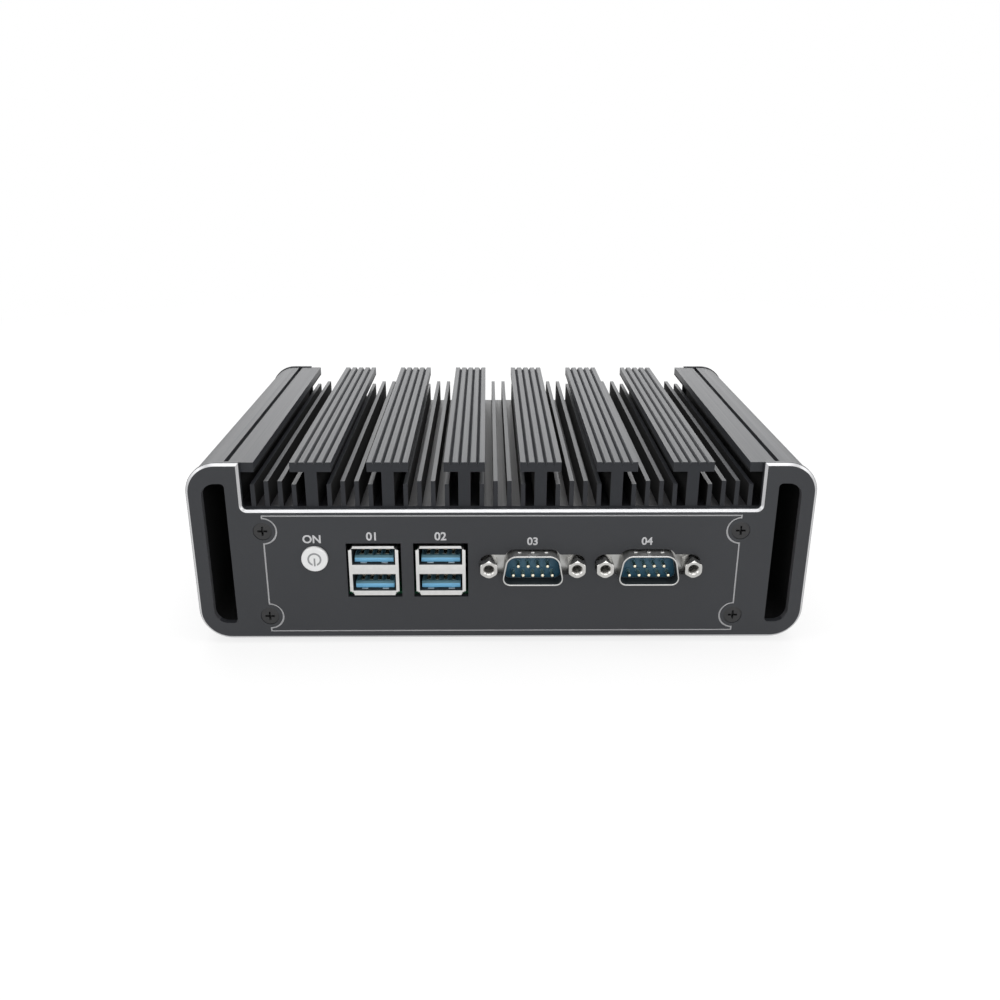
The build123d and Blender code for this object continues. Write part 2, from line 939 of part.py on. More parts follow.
def make_video_insert(x):
    """Insulator of the fifteen-hole video socket, in three staggered rows."""
    insert = make_d_insert(x, video_z, -shell_proud + pin_recess)
    for row in (-1, 0, 1):
        shift = video_pitch / 4 if row else -video_pitch / 4
        for number in range(5):
            hole_x = x + (number - 2) * video_pitch + shift
            hole = rod(video_hole_r, hole_x, video_z + row * video_row_gap, -shell_proud, pin_end())
            insert -= hole
    return insert


def inlet_z():
    return board_top_z + inlet_height / 2


def audio_z():
    return board_top_z + audio_body / 2


def make_power_inlet(x):
    """Round low-voltage inlet: a collar through the panel on a square housing."""
    half = inlet_width / 2
    start = plate_thick + fit_gap
    body = block(x - half, x + half, start, start + inlet_length, board_top_z, board_top_z + inlet_height)
    body += rod(inlet_collar_r, x, inlet_z(), 0, start)
    return body - rod(inlet_hole_r, x, inlet_z(), 0, inlet_hole_depth)


def make_inlet_pin(x):
    """Centre pin of the inlet."""
    pin = rod(inlet_pin_r, x, inlet_z(), plate_thick, inlet_hole_depth)
    return fillet(pin.edges().group_by(Axis.Y)[0], inlet_pin_r / 2)


def network_cavity():
    """Stepped mouth of a network port, key side down, about the port's axis."""
    low = -network_cavity_height / 2
    mouth = area(-network_cavity_width / 2, network_cavity_width / 2, low, -low)
    return mouth + area(-network_key_width / 2, network_key_width / 2, low - network_key_height, low)


def make_network_shell(x):
    """Steel shield of a network port."""
    half = network_width / 2
    low = board_top_z
    high = board_top_z + network_height
    outer = area(x - half, x + half, low, high)
    inner = area(x - half + network_wall, x + half - network_wall, low + network_wall, high - network_wall)
    mouth = Pos(x, network_z()) * network_cavity()
    shell = slab(outer, 0, network_length) - slab(inner, network_wall, network_length)
    return shell - slab(mouth, 0, network_wall)


def network_z():
    return board_top_z + network_height / 2 + network_key_height / 2


def make_network_insert(x):
    """Moulded body of a network port with its mouth."""
    half = network_width / 2 - network_wall - fit_gap
    low = board_top_z + network_wall + fit_gap
    high = board_top_z + network_height - network_wall - fit_gap
    start = network_wall + fit_gap
    body = slab(area(x - half, x + half, low, high), start, network_length)
    mouth = Pos(x, network_z()) * network_cavity()
    return body - slab(mouth, start, network_cavity_depth)


def make_network_contacts(x):
    """Eight spring wires that slope down from the roof of the mouth."""
    wires = []
    roof = network_z() + network_cavity_height / 2
    low = roof - network_wire_drop
    back = network_cavity_depth - network_wire_thick
    for number in range(network_wire_count):
        middle = x + (number - (network_wire_count - 1) / 2) * network_wire_pitch
        side = Polygon(
            (network_wire_start, roof),
            (network_wire_start + 2 * network_wire_thick, roof),
            (back, low),
            (back - 2 * network_wire_thick, low),
            align=None,
        )
        wire = extrude(Plane.YZ * side, amount=network_wire_thick)
        wires.append(Pos(middle - network_wire_thick / 2, 0, 0) * wire)
    return wires


def make_audio_jack(x):
    """Small round jack: threaded barrel on a square body."""
    half = audio_body / 2
    start = plate_thick + fit_gap
    body = block(x - half, x + half, start, start + audio_length, board_top_z, board_top_z + audio_body)
    body += rod(audio_barrel_r, x, audio_z(), 0, start)
    return body - rod(audio_hole_r, x, audio_z(), 0, audio_hole_depth)


def make_processor():
    """Processor package in the middle of the board."""
    half = processor_size / 2
    top = board_top_z + processor_thick
    return block(-half, half, middle_y - half, middle_y + half, board_top_z, top)


def make_thermal_pad():
    """Soft pad between the processor and the heat block."""
    half = processor_size / 2
    low = board_top_z + processor_thick
    return block(-half, half, middle_y - half, middle_y + half, low, low + pad_thick)


def make_heat_block():
    """Metal block that carries the heat up to the ceiling of the extrusion."""
    half = block_size / 2
    low = board_top_z + processor_thick + pad_thick
    shape = block(-half, half, middle_y - half, middle_y + half, low, ceiling)
    return chamfer(shape.edges().filter_by(Axis.Z), block_chamfer)


def make_memory_socket():
    """Edge socket with two latch arms that hold the memory module."""
    half = memory_length / 2 + memory_socket_extra
    top = board_top_z + memory_socket_height
    x_from = memory_x - memory_socket_depth / 2
    x_to = memory_x + memory_socket_depth / 2
    body = block(x_from, x_to, memory_y - half, memory_y + half, board_top_z, top)
    low = board_top_z + memory_lift
    module_half = memory_length / 2 + fit_gap
    body -= block(memory_x, x_to, memory_y - module_half, memory_y + module_half, low - fit_gap,
                  low + memory_thick + fit_gap)
    for side in (-1, 1):
        y_from = memory_y + side * (memory_length / 2 + fit_gap)
        y_to = memory_y + side * half
        low_y, high_y = sorted((y_from, y_to))
        body += block(x_to, x_to + memory_latch, low_y, high_y, board_top_z, top)
    return body


def make_memory_module():
    """Memory card with four chips on its upper face."""
    low = board_top_z + memory_lift
    y_from = memory_y - memory_length / 2
    start = memory_x + fit_gap
    module = block(start, start + memory_width, y_from, y_from + memory_length, low, low + memory_thick)
    chip_x = start + memory_width / 2 + memory_chip_shift
    chip_z = low + memory_thick + memory_chip_thick / 2
    for number in range(4):
        chip_y = memory_y + (number - 1.5) * memory_length / 4
        module += Pos(chip_x, chip_y, chip_z) * Box(memory_chip_width, memory_chip_length, memory_chip_thick)
    return module


def make_card_socket():
    """Socket of the slim storage card."""
    half = card_width / 2
    y_from = card_start - card_socket_depth / 2
    y_to = card_start + card_socket_depth / 2
    low = board_top_z + card_lift
    body = block(card_x - half, card_x + half, y_from, y_to, board_top_z, board_top_z + card_socket_height)
    high = low + card_thick
    return body - block(card_x - half, card_x + half, card_start, y_to, low - fit_gap, high + fit_gap)


def make_storage_card():
    """Slim storage card with three chips."""
    low = board_top_z + card_lift
    top = low + card_thick
    half = card_width / 2 - fit_gap
    start = card_start + fit_gap
    card = block(card_x - half, card_x + half, start, start + card_length, low, top)
    card -= post(screw_r + screw_clear, card_x, start + card_length - card_post_r, low, top)
    chip_z = top + card_chip_thick / 2
    for number in range(3):
        chip_y = start + card_chip_start + card_chip_pitch * number
        card += Pos(card_x, chip_y, chip_z) * Box(card_chip_width, card_chip_length, card_chip_thick)
    return card


def card_post_y():
    return card_start + fit_gap + card_length - card_post_r


def make_card_post():
    """Small post under the free end of the storage card."""
    top = board_top_z + card_lift
    outside = post(card_post_r, card_x, card_post_y(), board_top_z, top)
    return outside - post(screw_r + screw_clear, card_x, card_post_y(), board_top_z, top)


def make_card_screw():
    """Screw that holds the storage card to its post."""
    top = board_top_z + card_lift + card_thick
    shank = post(screw_r, card_x, card_post_y(), board_top_z + screw_clear, top)
    return shank + post(card_post_r, card_x, card_post_y(), top, top + card_head_h)


def make_cell_holder():
    """Cup that holds the clock's coin cell."""
    outer = cell_r + cell_holder_wall
    floor_z = board_top_z + cell_holder_floor
    cup = post(outer, cell_x, cell_y, board_top_z, floor_z + cell_thick)
    return cup - post(cell_r + fit_gap, cell_x, cell_y, floor_z, floor_z + cell_thick)


def make_coin_cell():
    """Coin cell of the clock."""
    low = board_top_z + cell_holder_floor
    cell = post(cell_r, cell_x, cell_y, low, low + cell_thick)
    return chamfer(cell.edges().group_by(Axis.Z)[-1], cell_chamfer)


def chokes():
    """Square coils of the processor's supply, in one row."""
    coils = []
    for number in range(choke_count):
        x = (number - (choke_count - 1) / 2) * choke_pitch
        half = choke_size / 2
        top = board_top_z + choke_height
        coils.append(block(x - half, x + half, choke_y - half, choke_y + half, board_top_z, top))
    return coils


def capacitors():
    """Round capacitors in one row."""
    cans = []
    for number in range(capacitor_count):
        x = capacitor_start_x + number * capacitor_pitch
        can = post(capacitor_r, x, capacitor_y, board_top_z, board_top_z + capacitor_height)
        cans.append(chamfer(can.edges().group_by(Axis.Z)[-1], capacitor_chamfer))
    return cans


def save_case():
    save_node("heatsink_body", make_heatsink_body())
    save_node("front_plate", make_front_plate())
    save_node("back_plate", make_back_plate())
    save_node("bottom_cover", make_bottom_cover())
    save_node("front_screws", *plate_screws())
    save_node("back_screws", *[from_back(screw) for screw in plate_screws()])
    save_node("cover_screws", *cover_screws())
    save_node("rubber_feet", *rubber_feet())
    save_node("mount_nuts", *mount_nuts())


def save_button():
    save_node("power_button", make_power_button())
    save_node("switch_plunger", make_switch_plunger())
    save_node("power_switch", make_power_switch())
    save_node("switch_board", make_switch_board())


def save_front_ports():
    for number, x in enumerate(front_socket_places, start=1):
        save_node(f"data_port_{number}_shell", make_socket_shell(x))
        save_node(f"data_port_{number}_insulator", make_socket_insulator(x))
        save_node(f"data_port_{number}_contacts", *make_socket_contacts(x))
    for number, x in enumerate(serial_places, start=1):
        save_node(f"serial_port_{number}_shell", make_d_shell(x, serial_z))
        save_node(f"serial_port_{number}_insulator", make_serial_insert(x))
        save_node(f"serial_port_{number}_pins", *make_serial_pins(x))


def save_rear_ports():
    rear_strips = make_socket_contacts(-rear_socket_x)
    save_node("rear_data_port_shell", from_back(make_socket_shell(-rear_socket_x)))
    save_node("rear_data_port_insulator", from_back(make_socket_insulator(-rear_socket_x)))
    save_node("rear_data_port_contacts", *[from_back(strip) for strip in rear_strips])
    save_node("video_port_shell", from_back(make_d_shell(-video_x, video_z)))
    save_node("video_port_insulator", from_back(make_video_insert(-video_x)))
    for number, x in enumerate(network_places, start=1):
        save_node(f"network_port_{number}_shell", from_back(make_network_shell(-x)))
        save_node(f"network_port_{number}_insulator", from_back(make_network_insert(-x)))
        save_node(f"network_port_{number}_contacts", *[from_back(wire) for wire in make_network_contacts(-x)])
    save_node("audio_jacks", *[from_back(make_audio_jack(-x)) for x in audio_places])
    save_node("power_inlet", from_back(make_power_inlet(-inlet_x)))
    save_node("power_inlet_pin", from_back(make_inlet_pin(-inlet_x)))


def save_jack_hardware():
    """Jack screws and nuts of both serial ports and the video port."""
    screws = []
    nuts = []
    for x in serial_places:
        screws += make_jack_screws(x, serial_z)
        nuts += make_jack_nuts(x, serial_z)
    screws += [from_back(screw) for screw in make_jack_screws(-video_x, video_z)]
    nuts += [from_back(nut) for nut in make_jack_nuts(-video_x, video_z)]
    save_node("jack_screws", *screws)
    save_node("jack_nuts", *nuts)


def save_inside():
    save_node("main_board", make_main_board())
    save_node("board_standoffs", *board_standoffs())
    save_node("board_screws", *board_screws())
    save_node("processor", make_processor())
    save_node("thermal_pad", make_thermal_pad())
    save_node("heat_block", make_heat_block())
    save_node("memory_socket", make_memory_socket())
    save_node("memory_module", make_memory_module())
    save_node("card_socket", make_card_socket())
    save_node("storage_card", make_storage_card())
    save_node("card_post", make_card_post())
    save_node("card_screw", make_card_screw())
    save_node("cell_holder", make_cell_holder())
    save_node("coin_cell", make_coin_cell())
    save_node("supply_coils", *chokes())
    save_node("capacitors", *capacitors())


os.makedirs("parts", exist_ok=True)
save_case()
save_button()
save_front_ports()
save_rear_ports()
save_jack_hardware()
save_inside()
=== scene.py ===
import json
import math
from functools import partial

import bpy
from mathutils import Matrix, Vector


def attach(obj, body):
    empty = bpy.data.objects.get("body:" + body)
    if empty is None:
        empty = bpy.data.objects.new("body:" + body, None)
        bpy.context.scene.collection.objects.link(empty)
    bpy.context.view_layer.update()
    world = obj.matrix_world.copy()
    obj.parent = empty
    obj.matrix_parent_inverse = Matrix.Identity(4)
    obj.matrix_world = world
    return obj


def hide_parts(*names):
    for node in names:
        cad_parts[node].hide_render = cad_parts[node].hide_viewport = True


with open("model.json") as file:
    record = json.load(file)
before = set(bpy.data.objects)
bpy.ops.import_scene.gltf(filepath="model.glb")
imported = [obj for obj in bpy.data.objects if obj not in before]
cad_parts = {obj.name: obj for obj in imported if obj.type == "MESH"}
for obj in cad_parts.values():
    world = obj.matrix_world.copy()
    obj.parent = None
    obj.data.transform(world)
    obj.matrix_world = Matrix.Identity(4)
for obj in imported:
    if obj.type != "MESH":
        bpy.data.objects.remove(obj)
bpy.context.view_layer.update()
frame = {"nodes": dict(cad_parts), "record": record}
nodes = frame["nodes"]
print("frame loaded,", len(nodes), "CAD nodes")

# sizes are in millimetres, from the front plate's outer face and the plates' lower edge, as in the CAD
case = {
    "depth": 119.5,
    "stand": 1.5,
}


def place(x, y, z):
    return Vector((x / 1000, (y - case["depth"] / 2) / 1000, (z + case["stand"]) / 1000))


def mm(value):
    return value / 1000


# camera, lights and floor
view = {
    "spot": (-4.164, -248.43, 138.379),
    "lens": 34.382,
    "down": 0.3648,
    "turn": 0.0139,
    "tilt": 0.0036,
    "sensor": 36,
    "near": 0.01,
    "far": 50,
}


def makeCamera():
    data = bpy.data.cameras.new("viewCamera")
    data.lens = view["lens"]
    data.sensor_width = view["sensor"]
    data.sensor_fit = "HORIZONTAL"
    data.clip_start = view["near"]
    data.clip_end = view["far"]
    camera = bpy.data.objects.new("viewCamera", data)
    bpy.context.scene.collection.objects.link(camera)
    turned = Matrix.Rotation(-view["turn"], 4, "Z") @ Matrix.Rotation(math.pi / 2 - view["down"], 4, "X")
    turned = turned @ Matrix.Rotation(view["tilt"], 4, "Z")
    camera.matrix_world = Matrix.Translation(place(*view["spot"])) @ turned
    bpy.context.scene.camera = camera


softboxes = [
    # name, place in metres, aimed at, width, height, watts
    ("overheadBox", (0.0, 0.10, 0.95), (0, 0, 0.03), 1.1, 1.0, 9.0),
    ("backTopBox", (0.0, 1.05, 0.55), (0, 0, 0.05), 1.8, 0.7, 9.0),
    ("frontBox", (0.15, -1.1, 0.55), (0, 0, 0.03), 0.9, 0.7, 4.0),
    ("leftBox", (-1.0, -0.35, 0.45), (0, 0, 0.03), 0.5, 0.7, 2.0),
    ("rightBox", (1.0, -0.35, 0.45), (0, 0, 0.03), 0.5, 0.7, 2.0),
]


def makeLights():
    for name, spot, target, width, height, watts in softboxes:
        data = bpy.data.lights.new(name, "AREA")
        data.shape = "RECTANGLE"
        data.size = width
        data.size_y = height
        data.energy = watts
        lamp = bpy.data.objects.new(name, data)
        bpy.context.scene.collection.objects.link(lamp)
        lamp.location = spot
        lamp.rotation_euler = (Vector(target) - Vector(spot)).to_track_quat("-Z", "Y").to_euler()


def addMath(tree, kind, *values):
    # a math node, each input a number or another node's output
    node = tree.nodes.new("ShaderNodeMath")
    node.operation = kind
    for socket, value in zip(node.inputs, values):
        if isinstance(value, (int, float)):
            socket.default_value = value
        else:
            tree.links.new(value, socket)
    return node.outputs[0]


def seenShare(tree):
    # 1 for what the camera, a mirror or glass sees, 0 for soft light
    path = tree.nodes.new("ShaderNodeLightPath")
    seen = addMath(tree, "MAXIMUM", path.outputs["Is Camera Ray"], path.outputs["Is Glossy Ray"])
    return addMath(tree, "MAXIMUM", seen, path.outputs["Is Transmission Ray"])


studio = {
    "softSky": 0.45,
    "floorRadius": 4,
    "floorTone": (0.86, 0.86, 0.86, 1),
    "floorRoughness": 0.9,
    "white": (1, 1, 1, 1),
    "nearGlow": 0.8,
    "fade": (0.2, 0.6),
}


def makeWorld():
    world = bpy.data.worlds.new("studio")
    bpy.context.scene.world = world
    world.use_nodes = True
    tree = world.node_tree
    ground = tree.nodes["Background"]
    ground.inputs["Color"].default_value = studio["white"]
    strength = tree.nodes.new("ShaderNodeMapRange")
    strength.inputs["To Min"].default_value = studio["softSky"]
    strength.inputs["To Max"].default_value = 1.0
    tree.links.new(seenShare(tree), strength.inputs["Value"])
    tree.links.new(strength.outputs["Result"], ground.inputs["Strength"])


def makeFloor():
    bpy.ops.object.select_all(action="DESELECT")
    bpy.ops.mesh.primitive_circle_add(vertices=96, radius=studio["floorRadius"], fill_type="NGON")
    floor = bpy.context.object
    floor.name = "studioFloor"
    material = bpy.data.materials.new("paleFloor")
    material.use_nodes = True
    tree = material.node_tree
    shader = tree.nodes["Principled BSDF"]
    shader.inputs["Base Color"].default_value = studio["floorTone"]
    shader.inputs["Roughness"].default_value = studio["floorRoughness"]
    shader.inputs["Specular IOR Level"].default_value = 0.0
    glow = tree.nodes.new("ShaderNodeEmission")
    glow.inputs["Color"].default_value = studio["white"]
    coords = tree.nodes.new("ShaderNodeTexCoord")
    far = tree.nodes.new("ShaderNodeVectorMath")
    far.operation = "LENGTH"
    tree.links.new(coords.outputs["Object"], far.inputs[0])
    fade = tree.nodes.new("ShaderNodeMapRange")  # all white away from the case
    fade.inputs["From Min"].default_value, fade.inputs["From Max"].default_value = studio["fade"]
    fade.inputs["To Min"].default_value = studio["nearGlow"]
    fade.inputs["To Max"].default_value = 1.0
    tree.links.new(far.outputs["Value"], fade.inputs["Value"])
    share = addMath(tree, "MULTIPLY", seenShare(tree), fade.outputs["Result"])
    blend = tree.nodes.new("ShaderNodeMixShader")
    tree.links.new(share, blend.inputs["Fac"])
    tree.links.new(shader.outputs["BSDF"], blend.inputs[1])
    tree.links.new(glow.outputs["Emission"], blend.inputs[2])
    tree.links.new(blend.outputs["Shader"], tree.nodes["Material Output"].inputs["Surface"])
    floor.data.materials.append(material)


makeCamera()
makeLights()
makeWorld()
makeFloor()
bpy.context.scene.view_settings.view_transform = "Standard"
print("camera, lights and floor made")


# finishes
def nodeGroup(name, inputs, outputs):
    group = bpy.data.node_groups.new(name, "ShaderNodeTree")
    for label, kind, value in inputs:
        socket = group.interface.new_socket(label, in_out="INPUT", socket_type=kind)
        if value is not None:
            socket.default_value = value
    for label, kind in outputs:
        group.interface.new_socket(label, in_out="OUTPUT", socket_type=kind)
    return group, group.nodes.new("NodeGroupInput"), group.nodes.new("NodeGroupOutput")


def makeGrainGroup():
    # fine blasted or moulded skin: a bumped normal, and a slow change of tone from 0 to 1
    group, given, made = nodeGroup(
        "fineGrain",
        [
            ("Size", "NodeSocketFloat", 2500.0),
            ("Depth", "NodeSocketFloat", 0.00002),
            ("Patch", "NodeSocketFloat", 40.0),
        ],
        [("Normal", "NodeSocketVector"), ("Tone", "NodeSocketFloat"), ("Speck", "NodeSocketFloat")],
    )
    add, link = group.nodes.new, group.links.new
    coords = add("ShaderNodeTexCoord")
    fine = add("ShaderNodeTexNoise")
    fine.inputs["Detail"].default_value = 3
    slow = add("ShaderNodeTexNoise")
    slow.inputs["Detail"].default_value = 2
    bump = add("ShaderNodeBump")
    link(coords.outputs["Object"], fine.inputs["Vector"])
    link(coords.outputs["Object"], slow.inputs["Vector"])
    link(given.outputs["Size"], fine.inputs["Scale"])
    link(given.outputs["Patch"], slow.inputs["Scale"])
    link(given.outputs["Depth"], bump.inputs["Distance"])
    link(fine.outputs["Fac"], bump.inputs["Height"])
    link(bump.outputs["Normal"], made.inputs["Normal"])
    link(slow.outputs["Fac"], made.inputs["Tone"])
    link(fine.outputs["Fac"], made.inputs["Speck"])
    return group


def makeDrawnGroup():
    # fine lines left along one axis by a die, a mill or a roller
    group, given, made = nodeGroup(
        "drawnLines",
        [("Stretch", "NodeSocketVector", (4000.0, 60.0, 4000.0)), ("Depth", "NodeSocketFloat", 0.00001)],
        [("Normal", "NodeSocketVector"), ("Line", "NodeSocketFloat")],
    )
    add, link = group.nodes.new, group.links.new
    coords = add("ShaderNodeTexCoord")
    stretch = add("ShaderNodeVectorMath")
    stretch.operation = "MULTIPLY"
    lines = add("ShaderNodeTexNoise")
    lines.inputs["Scale"].default_value = 1.0
    lines.inputs["Detail"].default_value = 3
    bump = add("ShaderNodeBump")
    link(coords.outputs["Object"], stretch.inputs[0])
    link(given.outputs["Stretch"], stretch.inputs[1])
    link(stretch.outputs["Vector"], lines.inputs["Vector"])
    link(given.outputs["Depth"], bump.inputs["Distance"])
    link(lines.outputs["Fac"], bump.inputs["Height"])
    link(bump.outputs["Normal"], made.inputs["Normal"])
    link(lines.outputs["Fac"], made.inputs["Line"])
    return group


def surfaceParts(group):
    # where the surface is and how it faces, each split into X, Y and Z
    add, link = group.nodes.new, group.links.new
    spot, facing = add("ShaderNodeSeparateXYZ"), add("ShaderNodeSeparateXYZ")
    link(add("ShaderNodeTexCoord").outputs["Object"], spot.inputs[0])
    link(add("ShaderNodeNewGeometry").outputs["True Normal"], facing.inputs[0])
    return spot.outputs, facing.outputs


# a pair is a value and how far from it still counts, the other values are the least that counts
cutEdges = {
    "chamferDepth": (0.45, 0.33),  # depths are behind the plates' faces
    "lineDepth": (0.25, 0.04),
    "slotX": (80.2, 4.2),
    "slant": (0.707, 0.08),
    "flat": 0.95,
    "sideways": 0.6,
}


def makeCutEdgeGroup():
    # where the plates are cut through their black skin: the chamfer, the engraved line and the slots' walls
    wanted = [("Chamfer", "NodeSocketFloat"), ("Line", "NodeSocketFloat"), ("Wall", "NodeSocketFloat")]
    group, _, made = nodeGroup("cutEdges", [], wanted)
    link, sums = group.links.new, partial(addMath, group)
    spot, facing = surfaceParts(group)
    depth = sums("SUBTRACT", mm(case["depth"] / 2), sums("ABSOLUTE", spot["Y"]))
    across = sums("ABSOLUTE", facing["Y"])
    slanted = sums("COMPARE", across, *cutEdges["slant"])
    shallow = sums("COMPARE", depth, *map(mm, cutEdges["chamferDepth"]))
    flat = sums("GREATER_THAN", across, cutEdges["flat"])
    engraved = sums("COMPARE", depth, *map(mm, cutEdges["lineDepth"]))
    sideways = sums("GREATER_THAN", sums("ABSOLUTE", facing["X"]), cutEdges["sideways"])
    slotBand = sums("COMPARE", sums("ABSOLUTE", spot["X"]), *map(mm, cutEdges["slotX"]))
    link(sums("MULTIPLY", slanted, shallow), made.inputs["Chamfer"])
    link(sums("MULTIPLY", flat, engraved), made.inputs["Line"])
    link(sums("MULTIPLY", sideways, slotBand), made.inputs["Wall"])
    return group


# heights here are from the ground
# bounds of the painted shade in the fins and the side channels
paintedGapShade = {
    "finsX": 74.2,
    "finsLow": 40.0,
    "finsHigh": 53.2,
    "floorHigh": 42.8,
    "channelX": (76.4, 84.2),
    "channelZ": (6.0, 50.4),
    "turned": 0.5,  # how much of a normal along an axis counts as facing that way
}


def makeGapGroup():
    # painted shade where the extrusion sees little light: the sides of the fins, the floor between them, the side
    # channels
    group, _, made = nodeGroup("paintedGapShade", [], [("Gap", "NodeSocketFloat"), ("Floor", "NodeSocketFloat")])
    link, sums = group.links.new, partial(addMath, group)
    spot, facing = surfaceParts(group)

    def within(value, low, high):
        return sums("MULTIPLY", sums("GREATER_THAN", value, mm(low)), sums("LESS_THAN", value, mm(high)))

    across, turned = sums("ABSOLUTE", spot["X"]), paintedGapShade["turned"]
    sideways = sums("GREATER_THAN", sums("ABSOLUTE", facing["X"]), turned)
    downward = sums("LESS_THAN", facing["Z"], -turned)
    heights = within(spot["Z"], paintedGapShade["finsLow"], paintedGapShade["finsHigh"])
    fins = sums("MULTIPLY", sums("LESS_THAN", across, mm(paintedGapShade["finsX"])), heights)
    dark = sums("MULTIPLY", fins, sums("MAXIMUM", sideways, downward))
    channel = sums("MULTIPLY", within(across, *paintedGapShade["channelX"]), within(spot["Z"], *paintedGapShade["channelZ"]))
    endless = sums("LESS_THAN", sums("ABSOLUTE", facing["Y"]), turned)
    link(sums("MAXIMUM", dark, sums("MULTIPLY", channel, endless)), made.inputs["Gap"])
    low = within(spot["Z"], paintedGapShade["finsLow"], paintedGapShade["floorHigh"])
    link(sums("MULTIPLY", low, sums("GREATER_THAN", facing["Z"], turned)), made.inputs["Floor"])
    return group


grainGroup = makeGrainGroup()
drawnGroup = makeDrawnGroup()
cutEdgeGroup = makeCutEdgeGroup()
gapGroup = makeGapGroup()


def newFinish(name):
    material = bpy.data.materials.new(name)
    material.use_nodes = True
    tree = material.node_tree
    return material, tree, tree.nodes["Principled BSDF"]


def useGroup(tree, group, **values):
    node = tree.nodes.new("ShaderNodeGroup")
    node.node_tree = group
    for label, value in values.items():
        node.inputs[label].default_value = value
    return node


def blendColours(tree, share, first, second):
    mix = tree.nodes.new("ShaderNodeMix")
    mix.data_type = "RGBA"
    for socket, value in ((mix.inputs[0], share), (mix.inputs[6], first), (mix.inputs[7], second)):
        if isinstance(value, tuple):
            socket.default_value = (*value, 1)
        elif isinstance(value, float):
            socket.default_value = value
        else:
            tree.links.new(value, socket)
    return mix.outputs[2]


def spread(tree, value, low, high):
    # a 0 to 1 value laid out between two others
    node = tree.nodes.new("ShaderNodeMapRange")
    node.inputs["To Min"].default_value = low
    node.inputs["To Max"].default_value = high
    tree.links.new(value, node.inputs["Value"])
    return node.outputs["Result"]


def blendValues(tree, share, first, second):
    mix = tree.nodes.new("ShaderNodeMix")
    for socket, value in ((mix.inputs[0], share), (mix.inputs[2], first), (mix.inputs[3], second)):
        if isinstance(value, float):
            socket.default_value = value
        else:
            tree.links.new(value, socket)
    return mix.outputs[0]


blackSkin = {
    "dark": (0.015, 0.016, 0.019),
    "light": (0.022, 0.024, 0.028),
    "roughness": (0.42, 0.52),
    "cut": (0.50, 0.50, 0.51),
    "cutRoughness": 0.34,
    "line": (0.42, 0.42, 0.43),
    "plateShine": 0.42,
    "extrusionShine": 0.21,
    "extrusionRoughness": (0.36, 0.5),
    "gapRoughness": 0.9,
    "wall": (0.06, 0.06, 0.065),
    # painted shade: the floor between the fins a little darker, the fins' sides and the side channels nearly
    # black
    "floor": (0.012, 0.012, 0.014),
    "gap": (0.0012, 0.0012, 0.0014),
}


def blackPlateFinish():
    material, tree, shader = newFinish("blackPlate")
    link = tree.links.new
    grain = useGroup(tree, grainGroup, Size=3000.0, Depth=0.000012, Patch=25.0)
    cuts = useGroup(tree, cutEdgeGroup)
    skin = blendColours(tree, grain.outputs["Tone"], blackSkin["dark"], blackSkin["light"])
    skin = blendColours(tree, cuts.outputs["Wall"], skin, blackSkin["wall"])
    lined = blendColours(tree, cuts.outputs["Line"], skin, blackSkin["line"])
    link(blendColours(tree, cuts.outputs["Chamfer"], lined, blackSkin["cut"]), shader.inputs["Base Color"])
    rough = spread(tree, grain.outputs["Speck"], *blackSkin["roughness"])
    link(blendValues(tree, cuts.outputs["Chamfer"], rough, blackSkin["cutRoughness"]), shader.inputs["Roughness"])
    link(cuts.outputs["Chamfer"], shader.inputs["Metallic"])
    shader.inputs["Specular IOR Level"].default_value = blackSkin["plateShine"]
    link(grain.outputs["Normal"], shader.inputs["Normal"])
    return material


def blackExtrusionFinish():
    material, tree, shader = newFinish("blackExtrusion")
    link = tree.links.new
    grain = useGroup(tree, grainGroup, Size=3000.0, Depth=0.00001, Patch=25.0)
    drawn = useGroup(tree, drawnGroup, Stretch=(2500.0, 12.0, 2500.0), Depth=0.000006)
    link(grain.outputs["Normal"], shader.inputs["Normal"])
    tone = blendValues(tree, 0.5, grain.outputs["Tone"], drawn.outputs["Line"])
    gaps = useGroup(tree, gapGroup)
    skin = blendColours(tree, tone, blackSkin["dark"], blackSkin["light"])
    # painted shade on the floor between the fins, on the fins' sides and in the side channels
    floored = blendColours(tree, gaps.outputs["Floor"], skin, blackSkin["floor"])
    link(blendColours(tree, gaps.outputs["Gap"], floored, blackSkin["gap"]), shader.inputs["Base Color"])
    rough = spread(tree, drawn.outputs["Line"], *blackSkin["extrusionRoughness"])
    link(blendValues(tree, gaps.outputs["Gap"], rough, blackSkin["gapRoughness"]), shader.inputs["Roughness"])
    shader.inputs["Specular IOR Level"].default_value = blackSkin["extrusionShine"]
    return material


def plainFinish(name, dark, light, roughness, metallic=0.0, grainSize=2500.0, grainDepth=0.00001, patch=60.0):
    material, tree, shader = newFinish(name)
    link = tree.links.new
    grain = useGroup(tree, grainGroup, Size=grainSize, Depth=grainDepth, Patch=patch)
    link(blendColours(tree, grain.outputs["Tone"], dark, light), shader.inputs["Base Color"])
    link(spread(tree, grain.outputs["Speck"], *roughness), shader.inputs["Roughness"])
    shader.inputs["Metallic"].default_value = metallic
    link(grain.outputs["Normal"], shader.inputs["Normal"])
    return material


def drawnMetal(name, dark, light, roughness, stretch, depth=0.000004):
    material, tree, shader = newFinish(name)
    link = tree.links.new
    drawn = useGroup(tree, drawnGroup, Stretch=stretch, Depth=depth)
    link(blendColours(tree, drawn.outputs["Line"], dark, light), shader.inputs["Base Color"])
    link(spread(tree, drawn.outputs["Line"], *roughness), shader.inputs["Roughness"])
    shader.inputs["Metallic"].default_value = 1.0
    link(drawn.outputs["Normal"], shader.inputs["Normal"])
    return material


